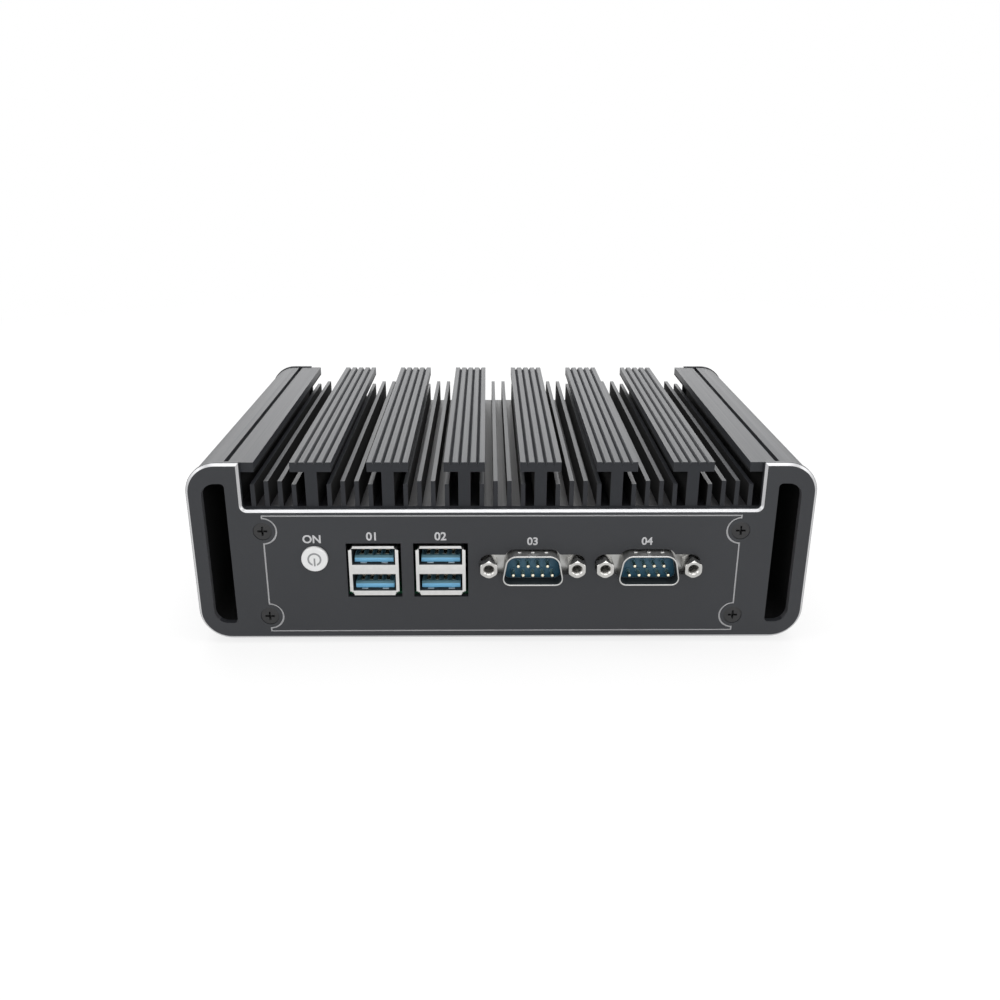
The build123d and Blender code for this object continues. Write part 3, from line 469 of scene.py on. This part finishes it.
finishes = {
    "black_anodised": blackPlateFinish(),
    "black_steel": plainFinish(
        "blackCover", (0.016, 0.016, 0.018), (0.024, 0.024, 0.026), (0.5, 0.62), grainDepth=0.00003
    ),
    "black_screw": plainFinish(
        "blackScrew", (0.012, 0.012, 0.013), (0.024, 0.024, 0.025), (0.3, 0.42), metallic=0.2
    ),
    "foot_rubber": plainFinish(
        "footRubber", (0.012, 0.012, 0.012), (0.02, 0.02, 0.02), (0.7, 0.85), grainSize=1200.0
    ),
    "button_white": plainFinish("buttonWhite", (0.62, 0.62, 0.62), (0.70, 0.70, 0.70), (0.3, 0.4)),
    "black_plastic": plainFinish("blackPlastic", (0.010, 0.010, 0.011), (0.016, 0.016, 0.017), (0.4, 0.55)),
    "board_green": plainFinish("boardGreen", (0.010, 0.075, 0.035), (0.016, 0.11, 0.05), (0.3, 0.42)),
    "socket_steel": drawnMetal(
        "socketSteel", (0.56, 0.56, 0.55), (0.68, 0.68, 0.67), (0.28, 0.4), (900.0, 900.0, 900.0)
    ),
    "socket_blue": plainFinish("socketBlue", (0.15, 0.42, 0.66), (0.19, 0.49, 0.74), (0.36, 0.5)),
    "serial_steel": drawnMetal(
        "serialSteel", (0.42, 0.42, 0.41), (0.54, 0.54, 0.53), (0.3, 0.42), (900.0, 900.0, 900.0)
    ),
    "serial_teal": plainFinish("serialTeal", (0.022, 0.085, 0.14), (0.03, 0.11, 0.17), (0.4, 0.55)),
    "contact_metal": plainFinish(
        "contactMetal", (0.74, 0.68, 0.52), (0.82, 0.77, 0.62), (0.22, 0.32), metallic=1.0
    ),
    "nickel": plainFinish("nickel", (0.46, 0.455, 0.44), (0.56, 0.55, 0.535), (0.2, 0.3), metallic=1.0),
    "bare_aluminium": drawnMetal(
        "bareAluminium", (0.7, 0.7, 0.71), (0.8, 0.8, 0.81), (0.3, 0.42), (900.0, 60.0, 900.0)
    ),
    "pad_grey": plainFinish("padGrey", (0.40, 0.43, 0.47), (0.47, 0.5, 0.54), (0.75, 0.9)),
    "chip_black": plainFinish("chipBlack", (0.012, 0.012, 0.012), (0.02, 0.02, 0.02), (0.5, 0.65)),
}
extrusionFinish = blackExtrusionFinish()
wordFinish = plainFinish("wordGrey", (0.42, 0.42, 0.43), (0.48, 0.48, 0.49), (0.5, 0.6))
videoFinish = plainFinish("videoBlue", (0.022, 0.07, 0.30), (0.03, 0.09, 0.36), (0.36, 0.5))
signFinish = plainFinish("signGrey", (0.20, 0.205, 0.21), (0.25, 0.255, 0.26), (0.45, 0.55))
# painted shade: the tongues' tops a darker blue
tongueTopShade = plainFinish("shadedBlue", (0.09, 0.20, 0.25), (0.12, 0.25, 0.31), (0.5, 0.65))
# painted shade: the shells' inner walls nearly black
innerWallShade = plainFinish("shadedSteel", (0.008, 0.012, 0.015), (0.014, 0.02, 0.024), (0.6, 0.75))


def dress(piece, slotName, finish=None):
    piece.data.materials.clear()
    piece.data.materials.append(finish or finishes[slotName])


for row in frame["record"]["subparts"]:
    node = nodes[row["node"]]
    chosen = extrusionFinish if row["node"] == "heatsink_body" else finishes[row["material_slot"]]
    for slot in node.material_slots:
        slot.material = chosen
print("finishes made")


# printed words
labels = {
    "lift": 0.02,
    "bolder": 0.08,
    "capShare": 0.69,  # height of a capital in a letter's full size
    "words": [
        ("switchWord", "ON", -53.8, 30.6, 2.3),
        ("dataWord1", "01", -36.8, 31.4, 2.35),
        ("dataWord2", "02", -17.5, 31.4, 2.35),
        ("serialWord1", "03", 8.6, 29.9, 2.2),
        ("serialWord2", "04", 41.1, 29.9, 2.2),
    ],
}


def makeWords():
    for name, text, x, z, height in labels["words"]:
        bpy.ops.object.select_all(action="DESELECT")
        bpy.ops.object.text_add()
        word = bpy.context.object
        word.name = name
        word.data.body = text
        word.data.align_x = "CENTER"
        word.data.size = mm(height) / labels["capShare"]
        word.data.extrude = mm(labels["lift"])
        word.data.offset = mm(labels["bolder"])
        bpy.ops.object.convert(target="MESH")
        word = bpy.context.object
        stand = Matrix.Translation(place(x, -labels["lift"], z)) @ Matrix.Rotation(math.pi / 2, 4, "X")
        word.data.transform(stand)
        word.matrix_world = Matrix.Identity(4)
        dress(word, "button_white", wordFinish)
        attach(word, "case")


makeWords()
print("words printed")


# helpers for the pieces: a primitive at its size and place, edit-mode work on picked faces and edges
def makeActive(piece):
    bpy.ops.object.select_all(action="DESELECT")
    piece.select_set(True)
    bpy.context.view_layer.objects.active = piece


def settled(name):
    # place, turn and size go into the mesh
    piece = bpy.context.object
    piece.name = name
    bpy.ops.object.transform_apply(location=True, rotation=True, scale=True)
    return piece


def newBar(name, radius, x, z, yFrom, yTo, corners=48):
    bpy.ops.object.select_all(action="DESELECT")
    middle = place(x, (yFrom + yTo) / 2, z)
    bpy.ops.mesh.primitive_cylinder_add(
        vertices=corners, radius=mm(radius), depth=mm(yTo - yFrom), location=middle, rotation=(math.pi / 2, 0, 0)
    )
    return settled(name)


def newBlock(name, low, high):
    bpy.ops.object.select_all(action="DESELECT")
    first, second = place(*low), place(*high)
    bpy.ops.mesh.primitive_cube_add(size=1, location=(first + second) / 2)
    bpy.context.object.scale = second - first
    return settled(name)


def inCase(point):
    return Vector((point.x * 1000, point.y * 1000 + case["depth"] / 2, point.z * 1000 - case["stand"]))


def clearPicks(kind):
    bpy.ops.object.mode_set(mode="EDIT")
    bpy.ops.mesh.select_mode(type=kind)
    bpy.ops.mesh.select_all(action="DESELECT")
    bpy.ops.object.mode_set(mode="OBJECT")


def pickFaces(piece, test):
    makeActive(piece)
    clearPicks("FACE")
    for face in piece.data.polygons:
        face.select = bool(test(inCase(face.center), face.normal))
    bpy.ops.object.mode_set(mode="EDIT")


def pickEdges(piece, test):
    makeActive(piece)
    clearPicks("EDGE")
    for edge in piece.data.edges:
        first, second = (inCase(piece.data.vertices[number].co) for number in edge.vertices)
        edge.select = bool(test(first, second))
    bpy.ops.object.mode_set(mode="EDIT")


def leaveEdit():
    bpy.ops.object.mode_set(mode="OBJECT")


def pushOut(y):
    # the picked faces pushed along y, deeper into the case when y is positive
    bpy.ops.mesh.extrude_region_move(TRANSFORM_OT_translate={"value": (0, mm(y), 0)})


def resizeAbout(x, y, z, scaleX, scaleY, scaleZ):
    bpy.ops.transform.resize(value=(scaleX, scaleY, scaleZ), center_override=place(x, y, z))


def worked(piece, kind, **settings):
    tool = piece.modifiers.new("work", kind)
    for label, value in settings.items():
        setattr(tool, label, value)
    makeActive(piece)
    bpy.ops.object.modifier_apply(modifier="work")
    return piece


def carved(piece, cutter):
    worked(piece, "BOOLEAN", operation="DIFFERENCE", solver="EXACT", object=cutter)
    bpy.data.objects.remove(cutter)
    return piece


def softened(piece, width, segments=2, angle=40):
    limit = {"limit_method": "ANGLE", "angle_limit": math.radians(angle)}
    return worked(piece, "BEVEL", width=mm(width), segments=segments, **limit)


def joined(name, pieces):
    makeActive(pieces[0])
    for piece in pieces:
        piece.select_set(True)
    bpy.ops.object.join()
    whole = bpy.context.object
    whole.name = name
    return whole


def copied(piece, matrix):
    # a copy with its own mesh, moved in the mesh
    twin = piece.copy()
    twin.data = piece.data.copy()
    bpy.context.scene.collection.objects.link(twin)
    twin.data.transform(matrix)
    return twin


def shift(x=0.0, y=0.0, z=0.0):
    return Matrix.Translation(Vector((mm(x), mm(y), mm(z))))


def markInner(piece, test):
    # marks the faces that get the piece's second finish, a painted shade
    marks = piece.data.attributes.new("inner", "INT", "FACE")
    for face in piece.data.polygons:
        marks.data[face.index].value = 1 if test(inCase(face.center), face.normal) else 0


def dressed(piece, slotName, body="case", replaced=(), angle=32, finish=None, inner=None):
    makeActive(piece)
    bpy.ops.object.shade_smooth_by_angle(angle=math.radians(angle))
    dress(piece, slotName, finish)
    # the marked faces get the second finish, a painted shade
    if inner:
        piece.data.materials.append(inner)
        marks = piece.data.attributes["inner"]
        for face in piece.data.polygons:
            face.material_index = marks.data[face.index].value
        piece.data.attributes.remove(marks)
    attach(piece, body)
    if replaced:
        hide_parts(*replaced)
    return piece


toBack = Matrix.Rotation(math.pi, 4, "Z")

# countersunk cross-recess screws
screw = {
    "headR": 2.6,
    "headFront": 0.15,
    "coneEnd": 1.85,
    "shankR": 1.5,
    "tip": 12.35,
    "crossWidth": 0.7,
    "crossSpan": 3.3,
    "crossDepth": 1.0,
    "plateX": 67.5,
    "plateZ": (7.4, 34.1),
    "coverX": 69.3,
    "coverY": (22.0, 59.75, 97.5),
    "coverFace": 0.5,
    "coverFront": 0.06,
    "coverTip": 4.4,
    "coverCone": 1.2,
    "pointLength": 0.4,
    "pointShare": 0.72,
    "rim": 0.18,
    "dome": 0.06,
}


def makeScrew(name, front, coneEnd, tip):
    head = newBar(name, screw["headR"], 0, 0, front, coneEnd)
    pickFaces(head, lambda middle, normal: normal.y > 0.9)
    share = screw["shankR"] / screw["headR"]
    resizeAbout(0, coneEnd, 0, share, 1, share)
    pushOut(tip - coneEnd - screw["pointLength"])
    pushOut(screw["pointLength"])
    resizeAbout(0, tip, 0, screw["pointShare"], 1, screw["pointShare"])
    leaveEdit()
    pickFaces(head, lambda middle, normal: normal.y < -0.9)
    bpy.ops.mesh.inset(thickness=mm(screw["rim"]))
    bpy.ops.transform.translate(value=(0, -mm(screw["dome"]), 0))
    leaveEdit()
    for turned in (False, True):
        half, long = screw["crossWidth"] / 2, screw["crossSpan"] / 2
        wide, tall = (long, half) if turned else (half, long)
        cutter = newBlock("cross", (-wide, front - 0.5, -tall), (wide, front + screw["crossDepth"], tall))
        pickFaces(cutter, lambda middle, normal: normal.y > 0.9)
        resizeAbout(0, 0, 0, 0.5, 1, 0.5)
        leaveEdit()
        carved(head, cutter)
    return head


def makeScrews():
    model = makeScrew("plateScrew", screw["headFront"], screw["coneEnd"], screw["tip"])
    places = [(side * screw["plateX"], z) for side in (-1, 1) for z in screw["plateZ"]]
    front = joined("frontScrews", [copied(model, shift(x, 0, z)) for x, z in places])
    back = copied(front, toBack)
    back.name = "backScrews"
    bpy.data.objects.remove(model)
    dressed(front, "black_screw", replaced=["front_screws"])
    dressed(back, "black_screw", replaced=["back_screws"])
    model = makeScrew("coverScrew", screw["coverFront"], screw["coverCone"], screw["coverTip"])
    upright = Matrix.Rotation(math.pi / 2, 4, "X")
    start = place(0, 0, 0)
    under = []
    for x in (-screw["coverX"], screw["coverX"]):
        for y in screw["coverY"]:
            spot = place(x, y, screw["coverFace"])
            under.append(copied(model, Matrix.Translation(spot) @ upright @ Matrix.Translation(-start)))
    bpy.data.objects.remove(model)
    dressed(joined("coverScrews", under), "black_screw", replaced=["cover_screws"])


makeScrews()
print("screws made")

# power button with its sign
button = {
    "x": -53.3,
    "z": 25.8,
    "r": 3.75,
    "front": -0.9,
    "collarR": 4.7,
    "collarFront": 2.3,
    "collarBack": 3.1,
    "ringR": 2.0,
    "ringInner": 0.74,
    "gap": 0.6,
    "barHalf": 0.24,
    "barEnds": (-2.1, 0.35),
    "lift": 0.02,
    "sunk": 0.01,
    "rimSoft": 0.32,
    "rings": (0.35, 0.5),
    "dish": 0.06,
}


def makeButton():
    x, z = button["x"], button["z"]
    cap = newBar("buttonCap", button["r"], x, z, button["front"], button["collarFront"], 64)
    pickFaces(cap, lambda middle, normal: normal.y > 0.9)
    pushOut(0.0)
    grow = button["collarR"] / button["r"]
    resizeAbout(x, 0, z, grow, 1, grow)
    pushOut(button["collarBack"] - button["collarFront"])
    leaveEdit()
    rim = button["front"] + 0.01
    pickEdges(cap, lambda first, second: first.y < rim and second.y < rim)
    bpy.ops.mesh.bevel(offset=mm(button["rimSoft"]), segments=4)
    leaveEdit()
    pickFaces(cap, lambda middle, normal: normal.y < -0.99)
    for width in button["rings"]:
        bpy.ops.mesh.inset(thickness=mm(width))
    bpy.ops.transform.translate(value=(0, mm(button["dish"]), 0))
    leaveEdit()
    dressed(cap, "button_white", "button", ["power_button"], 25)


def makeSign():
    # a ring open at the bottom with a bar in the gap
    x, z = button["x"], button["z"]
    face = button["front"] + button["dish"]
    front, back = face - button["lift"], face + button["sunk"]
    ring = newBar("buttonSign", button["ringR"], x, z, front, back, 64)
    inner = button["ringR"] * button["ringInner"]
    carved(ring, newBar("signHole", inner, x, z, face - 1, face + 1, 64))
    gap, half = button["gap"], button["barHalf"]
    carved(ring, newBlock("signGap", (x - gap, face - 1, z - 3), (x + gap, face + 1, z)))
    low, high = button["barEnds"]
    bar = newBlock("signBar", (x - half, front, z + low), (x + half, back, z + high))
    dressed(joined("buttonSign", [ring, bar]), "button_white", "button", finish=signFinish)


makeButton()
makeSign()
print("power button made")

# stacked double data sockets
socket = {
    "places": (-36.6, -17.55),
    "rear": 34.0,
    "middle": 22.1,
    "half": (6.6, 7.2),
    "front": -0.7,
    "back": 17.0,
    "cavityHalf": 6.15,
    "cavities": ((15.9, 21.15), (24.05, 29.05)),
    "cavityBack": 14.0,
    "lip": 0.5,
    "lipThick": 0.4,
    "lipGap": 1.2,
    "corner": 0.5,
    "cornerBack": 9,
    "soft": 0.12,
    "tongueHalf": 5.55,
    "tongueLows": (16.2, 24.3),
    "tongueThick": 1.9,
    "tongueFront": 0.8,
    "tongueSlope": 0.6,
    "recesses": (-4.75, -2.4, 0.0, 2.4, 4.75),
    "recessHalf": 0.42,
    "recessDepth": 0.55,
    "recessRun": (0.9, 8.5),
    "springs": (-3.0, 3.0),
    "springHalf": 0.9,
    "springRun": (1.2, 6.0),
    "springRise": 0.1,
    "springInset": 0.45,
    "springCrown": 0.2,
    "coreBack": 16.9,
    "coreShort": 0.6,
    "coreSoft": 0.2,
}


def cutCorners(shell):
    wide, tall = socket["half"]
    middle, front, corner = socket["middle"], socket["front"], socket["corner"]
    back = front + socket["cornerBack"]
    for side in (-1, 1):
        for edge in (-1, 1):
            nearX, farX = sorted((side * (wide - corner), side * (wide + 1)))
            nearZ, farZ = sorted((edge * (tall - corner), edge * (tall + 1)))
            carved(shell, newBlock("corner", (nearX, front - 1, middle + nearZ), (farX, back, middle + farZ)))


def makeLips():
    # four flared lips, one along each side of the mouth
    wide, tall = socket["half"]
    middle, front, lip = socket["middle"], socket["front"], socket["lip"]
    back = front + socket["lipThick"]
    longX, longZ = wide + lip - socket["lipGap"], tall + lip - socket["lipGap"]
    lips = []
    for side in (-1, 1):
        near, far = sorted((side * (tall - 0.1), side * (tall + lip)))
        lips.append(newBlock("lip", (-longX, front, middle + near), (longX, back, middle + far)))
        near, far = sorted((side * (wide - 0.1), side * (wide + lip)))
        lips.append(newBlock("lip", (near, front, middle - longZ), (far, back, middle + longZ)))
    return [softened(piece, socket["soft"]) for piece in lips]


def makeSpring(x, wall, edge):
    # a low tongue of the sheet that presses on the plug
    first, last = (socket["front"] + run for run in socket["springRun"])
    half = socket["springHalf"]
    near, far = sorted((wall + edge * 0.05, wall - edge * socket["springRise"]))
    spring = newBlock("spring", (x - half, first, near), (x + half, last, far))
    pickFaces(spring, lambda spot, normal: normal.z * edge < -0.9)
    bpy.ops.mesh.inset(thickness=mm(socket["springInset"]))
    bpy.ops.transform.translate(value=(0, 0, -edge * mm(socket["springCrown"])))
    leaveEdit()
    return softened(spring, socket["soft"] / 2)


def makeSocketShell():
    wide, tall = socket["half"]
    middle, front, half = socket["middle"], socket["front"], socket["cavityHalf"]
    shell = newBlock("socketShell", (-wide, front, middle - tall), (wide, socket["back"], middle + tall))
    for low, high in socket["cavities"]:
        carved(shell, newBlock("cavity", (-half, front - 1, low), (half, socket["cavityBack"], high)))
    cutCorners(shell)
    softened(shell, socket["soft"])

    # the cavities' inner walls get a painted shade
    def isInner(spot, normal):
        deep = spot.y > front + 0.25 and abs(normal.y) < 0.5
        return deep and abs(spot.x) < half + 0.02 and abs(spot.z - middle) < tall - 0.2

    markInner(shell, isInner)
    pieces = [shell, *makeLips()]
    for low, high in socket["cavities"]:
        for wall, edge in ((low, -1), (high, 1)):
            pieces += [makeSpring(x, wall, edge) for x in socket["springs"]]
    return joined("socketShell", pieces)


def makeTongue(z):
    half, front = socket["tongueHalf"], socket["tongueFront"]
    high = z + socket["tongueThick"]
    tongue = newBlock("tongue", (-half, front, z), (half, socket["cavityBack"] + 0.1, high))
    near, top = front + 0.01, high - 0.01
    pickEdges(tongue, lambda first, second: max(first.y, second.y) < near and min(first.z, second.z) > top)
    bpy.ops.mesh.bevel(offset=mm(socket["tongueSlope"]), segments=1)
    leaveEdit()
    wide, deep = socket["recessHalf"], socket["recessDepth"]
    first, last = (front + run for run in socket["recessRun"])
    for x in socket["recesses"]:
        carved(tongue, newBlock("recess", (x - wide, first, high - deep), (x + wide, last, high + 1)))
    softened(tongue, socket["soft"])
    # the tongue's upward faces get a painted shade
    markInner(tongue, lambda spot, normal: normal.z > 0.3)
    return tongue


def makeSocketCore():
    middle, wide = socket["middle"], socket["cavityHalf"] - 0.05
    front, tall = socket["cavityBack"] + 0.05, socket["half"][1] - socket["coreShort"]
    block = newBlock("socketCore", (-wide, front, middle - tall), (wide, socket["coreBack"], middle + tall))
    softened(block, socket["coreSoft"])
    markInner(block, lambda spot, normal: False)
    return joined("socketCore", [block, *(makeTongue(z) for z in socket["tongueLows"])])


def makeSockets():
    shell, core = makeSocketShell(), makeSocketCore()
    spots = [(f"data_port_{number}", shift(x)) for number, x in enumerate(socket["places"], start=1)]
    spots.append(("rear_data_port", toBack @ shift(socket["rear"])))
    for name, matrix in spots:
        twin = copied(shell, matrix)
        twin.name = name + "Steel"
        dressed(twin, "socket_steel", replaced=[name + "_shell"], inner=innerWallShade)
        twin = copied(core, matrix)
        twin.name = name + "Core"
        dressed(twin, "socket_blue", replaced=[name + "_insulator"], inner=tongueTopShade)
    bpy.data.objects.remove(shell)
    bpy.data.objects.remove(core)


makeSockets()
print("data sockets made")

# nine-pin serial plugs and the fifteen-hole video socket
serial = {
    "places": (8.65, 41.65),
    "z": 23.65,
    "videoX": -28.5,
    "videoZ": 20.7,
    "half": (8.95, 4.6),
    "drop": 0.3,
    "pinDrop": 0.6,
    "slant": 0.785,
    "cornerR": 2.6,
    "wall": 0.45,
    "front": -3.9,
    "flangeFront": 2.05,
    "flangeBack": 2.95,
    "flange": (15.4, 6.25, 1.5),
    "flangeSoft": 0.2,
    "floor": 0.9,
    "dimples": (-3.8, 0.0, 3.8),
    "dimpleR": 0.62,
    "dimpleRun": (-1.2, -0.7),
    "dimpleSoft": 0.18,
    "rimSoft": 0.16,
    "pinR": 0.5,
    "pinFront": -3.2,
    "pinPitch": 2.77,
    "pinRow": 1.42,
    "pinEnd": 7.7,
    "pinTip": 0.38,
    "seatR": 0.85,
    "seatRun": (0.35, 0.95),
    "seatSoft": 0.15,
    "coreInset": 0.5,
    "coreRaise": 0.25,
    "videoSunk": 1.0,
    "holeR": 0.62,
    "holePitch": 2.29,
    "holeRow": 1.98,
    "holeEnd": 2.4,
    "blockHalf": 9.5,
    "blockFront": 3.0,
    "blockBack": 12.5,
    "blockSoft": 0.4,
    "boardZ": 14.1,
}


def dBar(name, inward, yFrom, yTo):
    # D-shaped bar along y, narrow side up, in the middle of x = 0 and just under z = 0
    wide, tall = serial["half"][0] - inward, serial["half"][1] - inward
    bar = newBlock(name, (-wide, yFrom, -tall), (wide, yTo, tall))
    pickFaces(bar, lambda middle, normal: normal.z > 0.9)
    share = (wide - 2 * serial["slant"]) / wide
    resizeAbout(0, 0, tall, share, 1, 1)
    leaveEdit()
    pickEdges(bar, lambda first, second: abs(first.y - second.y) > 0.5)
    bpy.ops.mesh.bevel(offset=mm(serial["cornerR"] - inward), segments=8)
    bpy.ops.mesh.select_all(action="SELECT")
    bpy.ops.transform.translate(value=(0, 0, -mm(serial["drop"])))
    leaveEdit()
    return bar


def pinSpots():
    pitch, row = serial["pinPitch"], serial["pinRow"]
    upper = [((number - 1.5) * pitch, row - serial["pinDrop"]) for number in range(4)]
    return upper + [((number - 2) * pitch, -row - serial["pinDrop"]) for number in range(5)]


def makeDimple(x):
    first, last = serial["dimpleRun"]
    bump = newBar("dimple", serial["dimpleR"], x, 0, first, last, 16)
    makeActive(bump)
    bpy.ops.object.mode_set(mode="EDIT")
    bpy.ops.mesh.select_all(action="SELECT")
    centre = place(x, (first + last) / 2, 0)
    bpy.ops.transform.rotate(value=math.pi / 2, orient_axis="X", center_override=centre)
    bpy.ops.transform.translate(value=(0, 0, mm(serial["half"][1] - serial["drop"] + 0.02)))
    leaveEdit()
    return softened(bump, serial["dimpleSoft"], 3)


def makeSerialShell():
    front, back, drop = serial["front"], serial["floor"], serial["drop"]
    shell = dBar("serialShell", 0, front, serial["flangeFront"] + 0.02)
    carved(shell, dBar("room", serial["wall"], front - 1, back))

    # the room's inner faces get a painted shade
    def isInner(spot, normal):
        inward = normal.z * (spot.z + drop) + normal.x * spot.x < 0
        return front + 0.2 < spot.y < back + 0.1 and inward

    markInner(shell, isInner)
    rim = front + 0.01
    pickEdges(shell, lambda first, second: first.y < rim and second.y < rim)
    bpy.ops.mesh.bevel(offset=mm(serial["rimSoft"]), segments=3)
    leaveEdit()
    wide, tall, corner = serial["flange"]
    flange = newBlock("flange", (-wide, serial["flangeFront"], -tall), (wide, serial["flangeBack"], tall))
    pickEdges(flange, lambda first, second: abs(first.y - second.y) > 0.5)
    bpy.ops.mesh.bevel(offset=mm(corner), segments=6)
    leaveEdit()
    softened(flange, serial["flangeSoft"])
    return joined("serialShell", [shell, flange, *(makeDimple(x) for x in serial["dimples"])])


def makeRearBlock(name, socketZ):
    # the moulded block behind the flange, down to the board
    half, low, high = serial["blockHalf"], serial["boardZ"] - socketZ, serial["half"][1] + 1
    block = newBlock(name, (-half, serial["blockFront"], low), (half, serial["blockBack"], high))
    return softened(block, serial["blockSoft"])


def makeSerialCore():
    core = dBar("serialCore", serial["wall"] + 0.05, serial["floor"], serial["flangeBack"] + 0.1)
    pickFaces(core, lambda middle, normal: normal.y < -0.9)
    bpy.ops.mesh.inset(thickness=mm(serial["coreInset"]))
    bpy.ops.transform.translate(value=(0, -mm(serial["coreRaise"]), 0))
    leaveEdit()
    pieces = [core, makeRearBlock("serialBlock", serial["z"])]
    for x, z in pinSpots():
        seat = newBar("pinSeat", serial["seatR"], x, z, *serial["seatRun"], 24)
        pieces.append(softened(seat, serial["seatSoft"]))
    return joined("serialCore", pieces)


def makePin():
    pin = newBar("serialPin", serial["pinR"], 0, 0, serial["pinFront"], serial["pinEnd"], 24)
    tip = serial["pinFront"] + 0.01
    pickEdges(pin, lambda first, second: first.y < tip and second.y < tip)
    bpy.ops.mesh.bevel(offset=mm(serial["pinTip"]), segments=4)
    leaveEdit()
    return pin


def makeVideoCore():
    front = serial["front"] + serial["videoSunk"]
    core = dBar("videoCore", serial["wall"] + 0.05, front, serial["flangeBack"] + 0.1)
    pitch, row = serial["holePitch"], serial["holeRow"]
    holes = []
    for line in (-1, 0, 1):
        lean = pitch / 4 if line else -pitch / 4
        for number in range(5):
            x = (number - 2) * pitch + lean
            holes.append(newBar("hole", serial["holeR"], x, line * row, serial["front"], serial["holeEnd"], 16))
    carved(core, joined("holes", holes))
    return joined("videoCore", [core, makeRearBlock("videoBlock", serial["videoZ"])])


def makeSerials():
    shell, core, pin = makeSerialShell(), makeSerialCore(), makePin()
    pins = joined("serialPins", [copied(pin, shift(x, 0, z)) for x, z in pinSpots()])
    bpy.data.objects.remove(pin)
    z = serial["z"]
    for number, x in enumerate(serial["places"], start=1):
        node = f"serial_port_{number}"
        parts = (
            (shell, "Steel", "_shell", "serial_steel"),
            (core, "Core", "_insulator", "serial_teal"),
            (pins, "Pins", "_pins", "contact_metal"),
        )
        for model, ending, part, slotName in parts:
            twin = copied(model, shift(x, 0, z))
            twin.name = f"serialPort{number}{ending}"
            dressed(twin, slotName, replaced=[node + part], inner=innerWallShade if model == shell else None)
    video = toBack @ shift(serial["videoX"], 0, serial["videoZ"])
    twin = copied(shell, video)
    twin.name = "videoSteel"
    dressed(twin, "serial_steel", replaced=["video_port_shell"], inner=innerWallShade)
    insert = makeVideoCore()
    insert.data.transform(video)
    dressed(insert, "socket_blue", replaced=["video_port_insulator"], finish=videoFinish)
    for model in (shell, core, pins):
        bpy.data.objects.remove(model)


makeSerials()
print("serial and video ports made")

# hexagonal jack screws with a threaded hole
jack = {
    "cornerR": 2.742,
    "front": -3.7,
    "back": 2.05,
    "crown": 0.6,
    "holeR": 1.42,
    "threadR": 1.66,
    "threadPitch": 0.55,
    "turns": 8,
    "shankR": 1.2,
    "shankEnd": 6.5,
    "shankSoft": 0.25,
    "step": 12.495,
}


def makeJackScrew():
    head = newBar("jackScrew", jack["cornerR"], 0, 0, jack["front"], jack["back"], 6)
    crown = newBar("crown", jack["cornerR"], 0, 0, jack["front"], jack["back"] + 1, 64)
    tip = jack["front"] + 0.01
    pickEdges(crown, lambda first, second: first.y < tip and second.y < tip)
    bpy.ops.mesh.bevel(offset=mm(jack["crown"]), segments=3)
    leaveEdit()
    worked(head, "BOOLEAN", operation="INTERSECT", solver="EXACT", object=crown)
    bpy.data.objects.remove(crown)
    thread = newBar("thread", jack["threadR"], 0, 0, jack["front"] - 0.5, jack["front"] + 0.1, 32)
    pickFaces(thread, lambda middle, normal: normal.y > 0.9)
    inward, outward = jack["holeR"] / jack["threadR"], jack["threadR"] / jack["holeR"]
    for turn in range(jack["turns"]):
        pushOut(jack["threadPitch"] / 2)
        resizeAbout(0, 0, 0, inward, 1, inward)
        pushOut(jack["threadPitch"] / 2)
        resizeAbout(0, 0, 0, outward, 1, outward)
    leaveEdit()
    carved(head, thread)
    shank = newBar("shank", jack["shankR"], 0, 0, jack["back"] - 0.02, jack["shankEnd"], 24)
    return joined("jackScrew", [head, softened(shank, jack["shankSoft"])])


def makeJackScrews():
    model = makeJackScrew()
    spots = [shift(x + side * jack["step"], 0, serial["z"]) for x in serial["places"] for side in (-1, 1)]
    spots += [toBack @ shift(serial["videoX"] + side * jack["step"], 0, serial["videoZ"]) for side in (-1, 1)]
    whole = joined("jackScrews", [copied(model, matrix) for matrix in spots])
    bpy.data.objects.remove(model)
    dressed(whole, "nickel", replaced=["jack_screws"])


makeJackScrews()
print("jack screws made")
